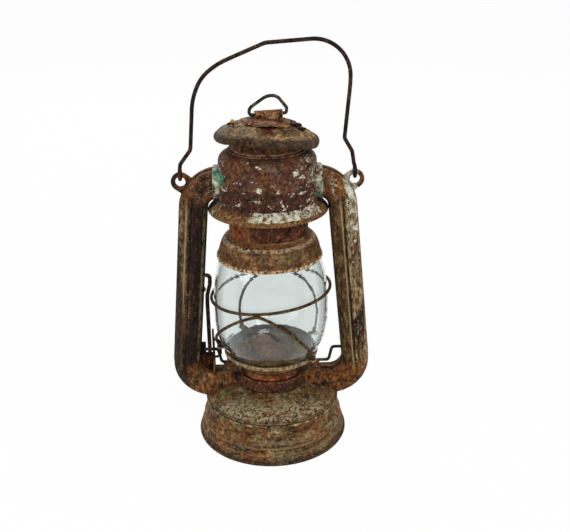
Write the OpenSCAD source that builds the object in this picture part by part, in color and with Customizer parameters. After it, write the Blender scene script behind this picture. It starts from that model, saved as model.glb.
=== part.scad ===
// Hanging oil lantern of the tubular kind, in millimetres.
// The origin is the centre of the base ring, on the surface that the lantern stands on.
// +X points to the right-hand tube, -Y to the front and +Z up.

/* [Tank] */
// Radius of the rolled base ring
base_r = 55.3; // [53:0.1:60]
// Height of the flared foot of the tank
foot_h = 16.5; // [13:0.5:19]
// Radius of the upright tank wall
tank_r = 48.2; // [46.5:0.1:50]
// Height of the seam between the pan and the tank top
seam_z = 30; // [27:0.5:32]
// Height of the flat step around the burner throat
shoulder_z = 44.3; // [42:0.1:46]
// Recess of the tank floor above the base ring
floor_z = 6; // [4:0.5:10]
// Thickness of the pressed sheet
sheet = 0.8; // [0.6:0.05:1]

/* [Side tubes] */
// Width of a tube across its crimped seams
tube_w = 20; // [18:0.5:21]
// Depth of a tube from front to back
tube_d = 22.8; // [21:0.2:24]
// Radius of the bends along the middle of a tube
tube_bend_r = 19; // [17:0.5:20]
// Distance of the upper bend's centre from the axis
tube_top_x = 32.5; // [31:0.5:36]
// Lean of the tubes outwards on their way down
tube_splay = 5.15; // [3:0.05:7]
// Height of the upper tube axis where it meets the drum
tube_top_z = 194.5; // [190:0.5:205]
// Height of the lower tube axis above the tank
tube_low_z = 39.7; // [38:0.1:41]
// Width of the crimped seam that runs along each edge
seam_w = 0.8; // [0.5:0.1:1.2]
// Depth of the groove pressed along each tube face
groove_depth = 1.4; // [0.8:0.1:1.8]

/* [Air drum] */
// Radius of the lower drum band
drum_r = 34.6; // [34:0.1:37]
// Radius of the upper drum band
drum_upper_r = 33.4; // [32.6:0.1:33.8]
// Radius of the flared skirt under the drum
skirt_r = 41; // [39:0.5:44]
// Height of the flared skirt
skirt_h = 6.6; // [5:0.2:9]

/* [Burner] */
// Radius of the burner throat on the tank
throat_r = 24.4; // [23.6:0.1:25.5]
// Height of the burner throat
throat_h = 5.7; // [5:0.1:7]
// Radius of the burner band above the throat
band_r = 23.3; // [22:0.1:24]
// Height of the burner band
band_h = 7.5; // [6.5:0.1:9]
// Radius of the burner cone
cone_r = 14.3; // [13.5:0.1:15]
// Height of the burner cone above its deck
cone_h = 19; // [17:0.5:22]
// Direction of the flame slot, counted from +X
slot_angle = 128.6; // [110:0.2:140]
// Width of the wick
wick_w = 12; // [10:0.5:13]
// Thickness of the wick
wick_t = 1.8; // [1.4:0.1:2.2]
// Radius of the toothed wheels that drive the wick
wick_wheel_r = 3.2; // [2.8:0.1:3.6]

/* [Globe] */
// Gap between the burner deck and the globe plate
plate_gap = 5; // [4:0.2:7]
// Radius of the globe plate's rim
plate_r = 34.5; // [34:0.1:36]
// Height of the glass globe
glass_h = 86.2; // [80:0.2:90]
// Radius of the glass foot
glass_foot_r = 28.5; // [27.5:0.1:29]
// Largest radius of the glass
glass_belly_r = 41.2; // [40:0.1:41.5]
// Thickness of the glass
glass_t = 1.8; // [1.2:0.1:2.4]
// Sideways offset of the globe and its plate from the lantern's axis
globe_shift = 0.5; // [0:0.1:0.6]

/* [Guard] */
// Radius of the guard wire
guard_wire_r = 1.1; // [0.8:0.1:1.2]
// Radius of the guard ring along the middle of its wire
guard_r = 42.8; // [42.6:0.1:43.2]
// Height of the guard ring above the globe plate
guard_h = 50; // [44:0.5:56]
// Lean of the guard ring, right side up
guard_tilt_x = 5.5; // [0:0.5:6]
// Lean of the guard ring, front side up
guard_tilt_y = 1.8; // [0:0.2:3]

/* [Chimney] */
// Radius of the chimney below the drum
chimney_r = 27.5; // [27:0.1:28.2]
// Radius of the neck above the drum
neck_r = 25.2; // [24.5:0.1:25.6]
// Radius of the dome's lip
dome_r = 36.8; // [36.4:0.1:37.6]
// Height of the dome from its lip to its top
dome_h = 14.8; // [13:0.2:17]
// Depth by which the dome's lip covers the glass
dome_drop = 8.2; // [6:0.2:9]
// Clearance around the sliding chimney
slide_gap = 0.35; // [0.2:0.05:0.5]
// Radius of the chimney spring's wire
spring_wire_r = 0.6; // [0.4:0.1:0.8]
// Number of turns of the chimney spring
spring_turns = 3; // [2:1:3]

/* [Hood] */
// Radius of the hood's rolled rim
hood_r = 35.5; // [33:0.5:38]
// Gap between the drum and the middle of the hood's rim
hood_gap = 8.9; // [8:0.1:14]
// Rise of the hood's cone, in degrees
hood_slope = 24; // [20:0.5:28]
// Lean of the bent hood, right side down
hood_tilt = 4.7; // [0:0.1:5]
// Radius of the top cap
cap_r = 16.5; // [15:0.5:19]
// Length of the sleeve that holds the carry ring
sleeve_l = 19; // [16:0.5:20]
// Lean of the sleeve, right side up
sleeve_tilt = 2.7; // [0:0.1:3]
// Radius of the carry ring's wire
ring_wire_r = 1.1; // [0.9:0.1:1.2]

/* [Lift lever] */
// Height of the lever's pivot
pivot_z = 65.8; // [65:0.1:66.4]
// Length of the cranks that raise the globe plate
crank_l = 10; // [9:0.1:10.5]
// Angle of the cranks below level when the globe is down
crank_drop = 42; // [38:0.5:44]
// Radius of the crank wire
crank_wire_r = 1.1; // [0.9:0.05:1.2]
// Height of the lever above its pivot
lever_h = 59.6; // [50:0.2:64]
// Width of the lever's flattened wire
lever_w = 2.4; // [2:0.1:2.8]

/* [Bail] */
// Radius of the bail wire
bail_wire_r = 1.35; // [1.1:0.05:1.5]
// Height of the bail's top above its pivots
bail_h = 89; // [80:1:110]
// Radius of the hole in each ear
ear_hole_r = 3.5; // [3.2:0.1:3.8]
// Outer radius of each ear
ear_r = 6.5; // [6.3:0.1:7]
// Distance of the ear's hole outside the tube
ear_reach = 4.2; // [4:0.1:5]

/* [Filler] */
// Radius of the filler neck
filler_r = 7.2; // [6.5:0.1:8]
// Radius of the filler cap
filler_cap_r = 9.4; // [9:0.1:10]
// Distance of the filler inside the tank's wall
filler_in = 11.7; // [10.7:0.1:12.7]

/* [Hidden] */
$fn = 96;

rust = [0.36, 0.23, 0.16];
red_rust = [0.42, 0.20, 0.13];
copper = [0.62, 0.34, 0.22];
dark_wire = [0.17, 0.11, 0.08];
brass = [0.55, 0.43, 0.24];
patina = [0.38, 0.46, 0.38];
clear_glass = [0.80, 0.86, 0.85, 0.4];
cotton = [0.80, 0.76, 0.66];

tiny = 0.01;
far = 400;                                  // longer than anything that is cut
seat_gap = 0.05;                            // clearance of a round piece pressed into another

// Tank
rim_wire_r = 1.3;                           // radius of the roll in the base ring
rim_flat = 0.3;                             // depth of the flat worn under the roll
lip_out = 0.5;                              // overhang of the tank top at the seam
shoulder_round = 4;                         // radius at the edge of the tank top
shoulder_arc = 64;                          // sweep of that rounding
shoulder_up = 3;                            // height of its centre above the seam
step_drop = 0.8;                            // how far the slope ends below the throat
shoulder_end_r = tank_r - shoulder_round + shoulder_round * cos(shoulder_arc);
shoulder_end_z = seam_z + shoulder_up + shoulder_round * sin(shoulder_arc);
step_w = 2.2;                               // width of the sloped ring around the throat

// Tubes: corners of the route that the bends round off
upper_corner_x = tube_top_x + tube_bend_r * tan((90 - tube_splay) / 2);
lower_corner_x = upper_corner_x + (tube_top_z - tube_low_z) * tan(tube_splay);
upper_bend_z = tube_top_z - tube_bend_r;
groove_r = 4;                               // radius of the groove's bottom
socket_wall = 1.2;                          // thickness of the socket rings
drum_socket_x = 37;                         // how far the drum sockets reach out
tank_socket_in = 12.2;                      // distance of the tank sockets' ends inside the tank's wall
tank_socket_x = tank_r - tank_socket_in;
function tube_inner_x(z) =
    upper_corner_x + (tube_top_z - z) * tan(tube_splay) - tube_w / 2 / cos(tube_splay);

// Air drum
drum_low = 12.5;                            // how far the drum reaches below the tubes' axis
drum_high = 21;                             // and above it
crease_up = 2;                              // height of the crease above that axis
drum_z = tube_top_z - drum_low;             // underside of the drum's floor
crease_z = tube_top_z + crease_up;
drum_top_z = tube_top_z + drum_high;
drum_round = 6;
crease_h = 0.6;
collar_wall = 1.2;
collar_h = 2.2;
neck_hole_r = neck_r + slide_gap;
chimney_hole_r = chimney_r + slide_gap;

// Burner
band_z = shoulder_z + throat_h;
deck_z = band_z + band_h;
thread_r = 12.2;                            // radius of the burner's screw plug
thread_gap = 0.05;
collar_out_r = 15.2;
wick_gap = 0.3;                             // clearance between wick and wick tube
wick_foot = 7;                              // clearance under the wick
wick_up = 13.5;                             // how far the wick stands above the deck
wick_low_z = floor_z + sheet + wick_foot;
wick_top_z = deck_z + wick_up;
wick_tube_wall = 0.5;
spindle_r = 0.9;
spindle_down = 4;                           // how far the spindle lies under the deck
spindle_z = deck_z - spindle_down;
spindle_off = wick_t / 2 + wick_wheel_r + 0.05;
knob_x = 46;                                // distance of the knob along its spindle
knob_r = 6;

// Globe plate and glass
plate_z = deck_z + sheet + plate_gap - 0.1; // underside of the plate's floor
plate_rim_h = 4.8;
plate_top_z = plate_z + plate_rim_h;        // top of the plate's rim
plate_flat_r = glass_foot_r + 0.5;
glass_z = plate_z + sheet;
glass_top_z = glass_z + glass_h;
belly_z = glass_z + 0.43 * glass_h;
glass_down = 0.455 * glass_h;               // how far the barrel curves down from the belly
glass_up = 0.669 * glass_h;                 // the same above the belly
function barrel(s) = glass_belly_r * pow(max(0, 1 - s), 0.25);
function glass_r(z) = max(glass_foot_r,
    z > belly_z ? barrel(pow((z - belly_z) / glass_up, 2)) : barrel(pow((belly_z - z) / glass_down, 2.7)));

// Guard
guard_z = plate_z + guard_h;
foot_out = 3.9;                             // distance of the guard's feet outside the plate
foot_ring_r = plate_r + foot_out;           // where the guard's feet stand
tab_over = 1.9;                             // how far a tab reaches past its foot
arch_rise = 22;                             // height in which an arch leans out to the ring
tab_t = 1;
tab_w = 5;
tab_z = plate_top_z + tab_t;
foot_post_r = 1.7;
foot_post_h = 2.2;
front_feet = [-178, -40];                   // directions of the front arch's feet
front_top = -102;
rear_feet = [128, 28];                      // directions of the rear arch's feet
rear_top = 80;
function ring_z(a) = guard_z + guard_r * (cos(a) * tan(guard_tilt_x) - sin(a) * tan(guard_tilt_y));

// Lift lever
crank_y = -crank_l * cos(crank_drop);
crank_z = pivot_z - crank_l * sin(crank_drop);
crank_lean = 3.1;                           // sideways lean of the crank wire
crank_bend_r = 2.4;
journal_gap = 0.08;
journal_in = 1.2;                           // how far the journals reach into the tubes
pivot_tube_x = tube_inner_x(pivot_z);
lug_x = 31.6;                               // middle of the slotted lugs under the plate
lug_t = 1.2;
lug_slot_gap = 0.5;
lug_edge = 1.4;
flange_x = 42.4;                            // middle of the bracket's upright flange
flange_t = 1.2;
flange_front_y = -3;
flange_back_y = 4.8;
loop_y = 3.7;                               // where the wire loop stands on the flange
bracket_y = 1.6;                            // front face of the bracket's gusset
bracket_t = 1;
lever_x = 45.3;                             // where the lever turns on its axle
lever_eye_r = 2.6;
stud_up = 48.6;
stud_z = pivot_z + stud_up;

// Chimney
seat_up = 2.4;                              // height of that shoulder above the drum's floor
seat_z = drum_z + sheet + seat_up;          // shoulder where the chimney narrows
seat_t = 1;
seat_lip = 2.7;                             // how far the spring seat stands out from the chimney
seat_r = chimney_r + seat_lip;
dome_z = glass_top_z - dome_drop;           // middle of the dome's lip
dome_top_z = dome_z + dome_h;
dome_overlap = 3;                           // how far the chimney reaches into the dome
lip_wire_r = 1;
function dome_points(g) = [
    [dome_r - g, dome_z],
    [dome_r - g - 0.5, dome_z + 0.22 * dome_h],
    [dome_r - g - 2.2, dome_z + 0.48 * dome_h],
    [dome_r - g - 3.9, dome_z + 0.73 * dome_h],
    [chimney_r + sheet - g + 0.3, dome_z + dome_h - g]
];
function dome_inner_r(z) = let(p = dome_points(sheet)) lookup(z, [for (q = p) [q[1], q[0]]]);

// Hood, cap and sleeve, measured from the middle of the hood's rim
hood_z = drum_top_z + hood_gap;
hood_edge = 2.6;                            // half the height of the rolled rim
hood_flat_r = hood_r - hood_edge;           // where the cone begins
hood_flat_z = 3.1;
cap_flat_r = 12.5;                             // radius of the flat on top of the cap
function cone_z(r) = hood_flat_z + (hood_flat_r - r) * tan(hood_slope);
skin = sheet / cos(hood_slope);             // height of one sheet measured upright on the cone
cap_top_z = cone_z(cap_flat_r) + skin;
neck_in = 2;                                // how far the neck reaches into the hood
neck_top_z = hood_z + neck_in;
strut_w = 5;
strut_gap = 1.8;                            // clearance between the struts and the drum's collar
strut_low_z = drum_top_z + collar_h + strut_gap;
sleeve_r = 2.6;
sleeve_bore_r = ring_wire_r + 0.25;
sleeve_up = 3;                              // height of the ring's axis above the cap
sleeve_axis_z = cap_top_z + sleeve_up;
vent_r = 2.6;                               // hole rusted through the hood's right shoulder
vent_x = 21;
ring_points = [[0, 0], [-12.6, 0], [-12.6, 4.4], [-0.5, 12], [6.2, 11.9], [12.3, 3.6], [12, 0], [0, 0]];
ring_bends = [0, 1.8, 4.4, 10.5, 6.3, 2.5, 1.6, 0];

// Ears and bail
ear_arm = tube_bend_r + tube_w / 2 + ear_reach;
ear_angle = 36;
ear_t = 2;
ear_x = tube_top_x + ear_arm * cos(ear_angle);
ear_z = upper_bend_z + ear_arm * sin(ear_angle);
eye_z = ear_z + (ear_hole_r + ear_r) / 2;
eye_room = 1.95;
eye_r = bail_wire_r + eye_room;
// Corners of the bent bail: across as a share of the ear distance, up as a share of its height
bail_shape = [
    [-0.99, 0.08], [-0.865, 0.19], [-0.815, 0.575], [-0.705, 0.735], [-0.51, 0.83], [0, 0.97],
    [0.94, 1.012], [0.93, 0.66], [0.875, 0.262], [0.965, 0.158], [0.985, 0.07]
];
bail_bends = [4, 6, 43, 28, 52, 10, 24, 60, 4, 6, 4];
bail_points = concat(
    [[-ear_x, eye_z + eye_r]],
    [for (p = bail_shape) [p[0] * ear_x, eye_z + p[1] * bail_h]],
    [[ear_x, eye_z + eye_r]]
);

// Filler, square to the sloped shoulder at the back
filler_x = tank_r - filler_in;
filler_slope = atan(
    (shoulder_z - step_drop - shoulder_end_z) / (shoulder_end_r - throat_r - step_w));
filler_neck_h = 4.5;
gasket_t = 0.8;
filler_cap_h = 6;

// Routes in the XZ plane: straight lengths with round bends, drawn with a section.
// The section's x runs to the right-hand side of the way, and its y to +Y.
function heading(a, b) = atan2(b[0] - a[0], b[1] - a[1]);
function wrap(t) = t > 180 ? t - 360 : t <= -180 ? t + 360 : t;
function turn_at(p, i) = wrap(heading(p[i], p[i + 1]) - heading(p[i - 1], p[i]));
function trim_at(p, r, i) = i == 0 || i == len(p) - 1 ? 0 : r[i] * tan(abs(turn_at(p, i)) / 2);

// Bends are drawn a hair thicker than the lengths that run into them, so that they join cleanly.
bend_grow = 0.02;
bend_lap = 0.1;

module straight(a, b, skip_a, skip_b) {
    translate([a[0], 0, a[1]])
        rotate([0, heading(a, b), 0])
            translate([0, 0, skip_a])
                linear_extrude(norm(b - a) - skip_a - skip_b) children();
}

module bend(p, r, i) {
    t = turn_at(p, i);
    h = heading(p[i - 1], p[i]);
    s = sign(t);
    start = p[i] - trim_at(p, r, i) * [sin(h), cos(h)];
    centre = start + s * r[i] * [cos(h), -sin(h)];
    translate([centre[0], 0, centre[1]])
        if (s > 0) {
            rotate([90, 0, 0])
                rotate([0, 0, 180 - h - t])
                    rotate_extrude(angle = t) translate([r[i], 0]) rotate(180) children();
        } else {
            rotate([-90, 0, 0])
                rotate([0, 0, h + t])
                    rotate_extrude(angle = -t) translate([r[i], 0]) children();
        }
}

// The first child is the section of the straight lengths, the second that of the bends.
module route(p, r) {
    last = len(p) - 1;
    for (i = [0:last - 1])
        straight(p[i], p[i + 1], trim_at(p, r, i) - (i > 0 ? bend_lap : 0),
            trim_at(p, r, i + 1) - (i + 1 < last ? bend_lap : 0)) children(0);
    for (i = [1:last - 1])
        bend(p, r, i) children(1);
}

// The same for a wide duct of one even section: each piece starts from the end of the one
// before, so that the walls meet exactly.
module duct(p, r) {
    translate([p[0][0], 0, p[0][1]]) rotate([0, heading(p[0], p[1]), 0]) duct_leg(p, r, 0) children();
}

module duct_leg(p, r, i) {
    length = norm(p[i + 1] - p[i]) - trim_at(p, r, i) - trim_at(p, r, i + 1);
    linear_extrude(length) children();
    if (i < len(p) - 2) {
        t = turn_at(p, i + 1);
        centre = sign(t) * r[i + 1];
        translate([0, 0, length]) {
            mirror([sign(t) + 1, 0, 0]) translate([-r[i + 1], 0, 0]) rotate([90, 0, 0])
                rotate_extrude(angle = abs(t)) translate([r[i + 1], 0]) children();
            translate([centre, 0, 0]) rotate([0, t, 0]) translate([-centre, 0, 0])
                duct_leg(p, r, i + 1) children();
        }
    }
}

module wire(p, r, wire_r) {
    route(p, r) {
        circle(wire_r);
        circle(wire_r + bend_grow);
    }
}

// A round wire swept through points: a ring of corners at every point, with flat ends.
function sweep_axis(p, i) = let(v = p[min(i + 1, len(p) - 1)] - p[max(i - 1, 0)]) v / norm(v);
function sweep_ring(p, i, r, sides) =
    let(
        t = sweep_axis(p, i),
        side = cross(t, [0, 0, 1]),
        u = side / norm(side),
        v = cross(u, t)
    )
    [for (k = [0:sides - 1]) p[i] + r * (cos(360 * k / sides) * u + sin(360 * k / sides) * v)];

module sweep(p, r, sides = 8) {
    n = len(p);
    points = [for (i = [0:n - 1]) each sweep_ring(p, i, r, sides)];
    walls = [for (i = [0:n - 2], k = [0:sides - 1], half = [0, 1])
        let(a = i * sides + k, b = i * sides + (k + 1) % sides)
        half == 0 ? [a, a + sides, b] : [b, a + sides, b + sides]];
    ends = [
        [for (k = [0:sides - 1]) k],
        [for (k = [sides - 1:-1:0]) (n - 1) * sides + k]
    ];
    polyhedron(points, concat(walls, ends), convexity = 4);
}

module left_side() {
    mirror([1, 0, 0]) children();
}

module ring_solid(r_out, r_in, z, h) {
    translate([0, 0, z])
        difference() {
            cylinder(r = r_out, h = h);
            translate([0, 0, -tiny]) cylinder(r = r_in, h = h + 2 * tiny);
        }
}

// ---- Tank ----

function foot_r(z) = base_r - 1 - (base_r - 1 - tank_r - 2.4) * (z - 1.2) / (foot_h - 1.2);

module tank_pan() {
    bead_r = 0.8 * sheet;
    color(rust) rotate_extrude() {
        intersection() {
            translate([base_r - rim_wire_r, rim_wire_r - rim_flat]) circle(rim_wire_r);
            square([base_r, 2 * rim_wire_r]);
        }
        polygon([
            [foot_r(1.2) - sheet, 1.2], [foot_r(1.2), 1.2], [foot_r(foot_h), foot_h],
            [tank_r, foot_h + 3], [tank_r, seam_z], [tank_r - sheet, seam_z],
            [tank_r - sheet, foot_h + 3], [foot_r(foot_h) - sheet, foot_h]
        ]);
        for (z = [0.4, 0.92]) translate([foot_r(z * foot_h) - 0.1, z * foot_h]) circle(bead_r);
    }
}

module tank_floor() {
    in = sheet + seat_gap;
    color(rust) rotate_extrude() polygon([
        [0, floor_z], [foot_r(floor_z) - in, floor_z],
        [foot_r(floor_z + sheet) - in, floor_z + sheet], [0, floor_z + sheet]
    ]);
}

// Upper outline of the tank from the seam to the throat, moved inwards by g
function shoulder_points(g) = concat(
    [[tank_r - g, seam_z]],
    [for (a = [0:8:shoulder_arc])
        [tank_r - shoulder_round + (shoulder_round - g) * cos(a),
         seam_z + shoulder_up + (shoulder_round - g) * sin(a)]],
    [[throat_r + step_w, shoulder_z - step_drop - g], [throat_r + step_w - step_drop, shoulder_z - g]]
);

module tank_block() {
    rotate_extrude() polygon(concat(
        [[0, 0], [tank_r, 0]], shoulder_points(0), [[0, shoulder_z]]
    ));
    ring_solid(tank_r + lip_out, tank_r - sheet, seam_z, 1.2);
}

module tank_top() {
    outer = shoulder_points(0);
    inner = shoulder_points(sheet);
    color(rust) difference() {
        union() {
            rotate_extrude() polygon(concat(
                outer, [[thread_r + 1.8, shoulder_z], [thread_r + 1.8, shoulder_z - sheet]],
                [for (i = [len(inner) - 1:-1:1]) inner[i]],
                [[tank_r - 2 * sheet, seam_z + 1], [tank_r - 2 * sheet, seam_z - 3],
                 [tank_r - sheet, seam_z - 3], [tank_r - sheet, seam_z]]
            ));
            ring_solid(tank_r + lip_out, tank_r - sheet / 2, seam_z, 1.2);
        }
        on_shoulder() translate([0, 0, -5]) cylinder(r = filler_r, h = 10);
    }
}

// ---- Filler ----

function slope_z(r) = shoulder_z - step_drop - (r - throat_r - step_w) * tan(filler_slope);

module on_shoulder() {
    translate([0, filler_x, slope_z(filler_x)]) rotate([-filler_slope, 0, 0]) children();
}

module filler_neck() {
    color(brass) on_shoulder() {
        ring_solid(filler_r, filler_r - 1, -2.5, filler_neck_h + 2.5);
        ring_solid(filler_r + 0.9, filler_r - 0.5, 0.8, 0.8);
    }
}

module filler_gasket() {
    color("dimgray") on_shoulder() ring_solid(filler_r, filler_r - 2.2, filler_neck_h, gasket_t);
}

module filler_cap() {
    top = filler_neck_h + gasket_t;
    color(rust) on_shoulder() {
        difference() {
            translate([0, 0, top - filler_cap_h + 3.2]) cylinder(r = filler_cap_r, h = filler_cap_h);
            translate([0, 0, top - filler_cap_h + 3.1]) cylinder(r = filler_r + 0.3, h = filler_cap_h - 3.1);
            for (a = [0:20:340])
                rotate(a) translate([filler_cap_r + 0.5, 0, 0]) cylinder(r = 0.9, h = 20);
        }
    }
}

// ---- Side tubes ----

module tube_outline(g) {
    difference() {
        intersection() {
            circle(tube_d / 2 + g);
            square([tube_w - 2 * seam_w + 2 * g, tube_d + 2 * g], center = true);
        }
        for (s = [-1, 1])
            translate([0, s * (tube_d / 2 + groove_r - groove_depth)]) circle(groove_r - g);
    }
}

module tube_solid(g) {
    tube_outline(g);
    square([tube_w + 2 * g, 2 * sheet + 2 * g], center = true);
}

tube_points = [[throat_r - 6, tube_top_z], [upper_corner_x, tube_top_z],
    [lower_corner_x, tube_low_z], [throat_r - 6, tube_low_z]];
tube_bends = [0, tube_bend_r, tube_bend_r, 0];

module tube_route() {
    duct(tube_points, tube_bends) children();
}

// The room that a tube takes, for what is shaped to fit against it
module tube_block() {
    route(tube_points, tube_bends) {
        tube_solid(0);
        tube_solid(bend_grow);
    }
}

// Openings for the air that passes from the tubes: one near the drum and one near the throat
module tube_windows(z) {
    for (a = [90, -90])
        translate([0, 0, z]) rotate([0, a, 0]) linear_extrude(drum_r + 5) tube_outline(-sheet);
}

module throat_block() {
    cylinder(r = throat_r, h = band_z + 1);
    cylinder(r = throat_r + 1.4, h = shoulder_z + sheet);
}

module tube_half(s) {
    color(rust) difference() {
        tube_route() tube_solid(0);
        tube_route() tube_outline(-sheet);
        translate([-far, s > 0 ? -far : 0, -far]) cube([2 * far, far, 2 * far]);
        drum_block();
        tank_block();
        throat_block();
        journal_hole();
    }
}

module journal_hole() {
    translate([pivot_tube_x - 4, 0, pivot_z])
        rotate([0, 90, 0]) cylinder(r = crank_wire_r + journal_gap, h = 8);
}

module socket_section() {
    difference() {
        intersection() {
            circle(tube_d / 2 + socket_wall);
            square([tube_w - 2 * seam_w + 2 * socket_wall, tube_d + 3], center = true);
        }
        tube_solid(0);
    }
}

module drum_socket() {
    color(patina) difference() {
        intersection() {
            tube_route() socket_section();
            translate([0, -tube_d, drum_z]) cube([drum_socket_x, 2 * tube_d, drum_top_z - drum_z]);
        }
        drum_block();
    }
}

module tank_socket() {
    color(rust) difference() {
        intersection() {
            tube_route() socket_section();
            translate([0, -tube_d, tube_low_z - tube_d])
                cube([tank_socket_x, 2 * tube_d, 2 * tube_d]);
        }
        tank_block();
        throat_block();
    }
}

module ear() {
    inward = ear_angle + 180;
    color(rust) difference() {
        translate([ear_x, ear_t / 2, ear_z]) rotate([90, 0, 0]) linear_extrude(ear_t) difference() {
            union() {
                circle(ear_r);
                rotate(inward) translate([0, -ear_r]) square([ear_reach + 3, 2 * ear_r]);
            }
            circle(ear_hole_r);
        }
        tube_block();
    }
}

// ---- Air drum ----

function drum_points(g) = concat(
    [[drum_r - g, drum_z + sheet], [drum_r - g, crease_z - crease_h],
     [drum_upper_r - g, crease_z + crease_h]],
    [for (a = [0:10:90])
        [drum_upper_r - drum_round + (drum_round - g) * cos(a),
         drum_top_z - drum_round + (drum_round - g) * sin(a)]]
);

module drum_block() {
    rotate_extrude() polygon(concat(
        [[0, drum_z - 1], [drum_r, drum_z - 1]], drum_points(0), [[0, drum_top_z]]
    ));
}

module air_drum() {
    inner = drum_points(sheet);
    color(rust) difference() {
        rotate_extrude() polygon(concat(
            drum_points(0), [[neck_hole_r, drum_top_z], [neck_hole_r, drum_top_z - sheet]],
            [for (i = [len(inner) - 1:-1:0]) inner[i]]
        ));
        tube_windows(tube_top_z);
    }
}

module drum_collar() {
    color(rust) {
        ring_solid(neck_hole_r + collar_wall, neck_hole_r, drum_top_z, collar_h);
        ring_solid(neck_hole_r + 2.4, neck_hole_r + collar_wall / 2, drum_top_z, 0.6);
    }
}

module drum_skirt() {
    edge_z = drum_z - skirt_h;
    color(rust) rotate_extrude() {
        polygon([
            [chimney_hole_r, drum_z], [chimney_hole_r, drum_z + sheet], [drum_r, drum_z + sheet],
            [drum_r + 1.2, drum_z - 0.6], [drum_r + 0.6 * (skirt_r - drum_r), drum_z - 0.36 * skirt_h],
            [skirt_r, edge_z + 0.9], [skirt_r - sheet, edge_z + 0.1],
            [drum_r + 0.6 * (skirt_r - drum_r) - sheet, drum_z - 0.36 * skirt_h - sheet],
            [drum_r - 0.4, drum_z - sheet], [drum_r - 1.2, drum_z]
        ]);
        translate([skirt_r - sheet / 2, edge_z + 0.3]) circle(0.9);
    }
}

// ---- Burner ----

module burner_throat() {
    color(red_rust) difference() {
        union() {
            ring_solid(throat_r, throat_r - sheet, shoulder_z, throat_h);
            ring_solid(throat_r + 1.4, throat_r - sheet, shoulder_z, sheet);
        }
        tube_windows(tube_low_z);
    }
}

module burner_collar() {
    color(brass) {
        ring_solid(collar_out_r, thread_r + thread_gap, shoulder_z, 1);
        ring_solid(thread_r + 1.8, thread_r + thread_gap, shoulder_z - 4, 4 + tiny);
    }
}

module burner_body() {
    color(brass) difference() {
        union() {
            translate([0, 0, shoulder_z - 3]) cylinder(r = thread_r, h = 4);
            translate([0, 0, shoulder_z + 1]) cylinder(r = collar_out_r, h = 1.2);
        }
        wick_frame() translate([0, 0, shoulder_z])
            cube([wick_w + 2 * wick_gap + 2 * wick_tube_wall, wick_tube_t, 20], center = true);
    }
}

module wick_frame() {
    rotate(slot_angle) children();
}

wick_tube_t = wick_t + 2 * wick_gap + 2 * wick_tube_wall;

module wick_tube() {
    low = shoulder_z - 6;
    high = wick_top_z - 1.5;
    color(brass) wick_frame() difference() {
        translate([-wick_w / 2 - wick_gap - wick_tube_wall, -wick_tube_t / 2, low])
            cube([wick_w + 2 * wick_gap + 2 * wick_tube_wall, wick_tube_t, high - low]);
        translate([-wick_w / 2 - wick_gap, -wick_t / 2 - wick_gap, low - 1])
            cube([wick_w + 2 * wick_gap, wick_t + 2 * wick_gap, high - low + 2]);
        for (e = [-1, 1])
            translate([e * wick_w / 4 - 1.4, 0, spindle_z - wick_wheel_r - 0.4])
                cube([2.8, wick_tube_t, 2 * wick_wheel_r + 0.8]);
    }
}

module wick() {
    color(cotton) wick_frame()
        translate([-wick_w / 2, -wick_t / 2, wick_low_z]) cube([wick_w, wick_t, wick_top_z - wick_low_z]);
}

module along_spindle(x) {
    wick_frame() translate([x, spindle_off, spindle_z]) rotate([0, 90, 0]) children();
}

module wick_spindle() {
    color(dark_wire) along_spindle(-wick_w / 2 - 1) cylinder(r = spindle_r, h = knob_x + wick_w / 2 + 1);
}

module wick_wheels() {
    color(brass) for (e = [-1, 1])
        along_spindle(e * wick_w / 4 - 1) difference() {
            cylinder(r = wick_wheel_r, h = 2);
            translate([0, 0, -1]) cylinder(r = spindle_r, h = 4);
            for (a = [0:30:330]) rotate(a) translate([wick_wheel_r + 0.3, 0, -1]) cylinder(r = 0.55, h = 4);
        }
}

module wick_knob() {
    color(brass) along_spindle(knob_x) difference() {
        union() {
            cylinder(r = knob_r, h = 1.2);
            cylinder(r = 2.2, h = 2.6);
        }
        for (a = [0:15:345]) rotate(a) translate([knob_r + 0.5, 0, -1]) cylinder(r = 0.8, h = 4);
    }
}

module burner_band() {
    color(copper) difference() {
        union() {
            ring_solid(band_r, band_r - sheet, band_z, band_h);
            ring_solid(throat_r, throat_r - 2.4, band_z, 0.8);
        }
        along_spindle(0) cylinder(r = spindle_r + 0.3, h = 2 * band_r);
    }
}

module burner_deck() {
    color(copper) difference() {
        ring_solid(band_r + 0.9, cone_r - 1.8, deck_z, sheet);
        for (a = [0:15:345])
            rotate(a) translate([(band_r + cone_r) / 2, 0, deck_z - 1]) cylinder(r = 0.8, h = 3);
    }
}

module burner_cone() {
    wall_h = cone_h * 0.4;
    crown = cone_h - wall_h;
    ball_r = (cone_r * cone_r + crown * crown) / (2 * crown);
    color(red_rust) translate([0, 0, deck_z + sheet]) difference() {
        union() {
            cylinder(r = cone_r, h = wall_h);
            translate([0, 0, wall_h]) intersection() {
                translate([0, 0, crown - ball_r]) sphere(ball_r);
                cylinder(r = cone_r, h = crown + 1);
            }
        }
        translate([0, 0, -tiny]) cylinder(r = cone_r - sheet, h = wall_h + tiny);
        translate([0, 0, wall_h]) intersection() {
            translate([0, 0, crown - ball_r]) sphere(ball_r - sheet);
            translate([0, 0, -tiny]) cylinder(r = cone_r - sheet, h = crown);
        }
        rotate(slot_angle) translate([-8.5, -2.2, wall_h]) cube([17, 4.4, crown + 2]);
    }
}

// ---- Lift bracket on the left tube ----

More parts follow.
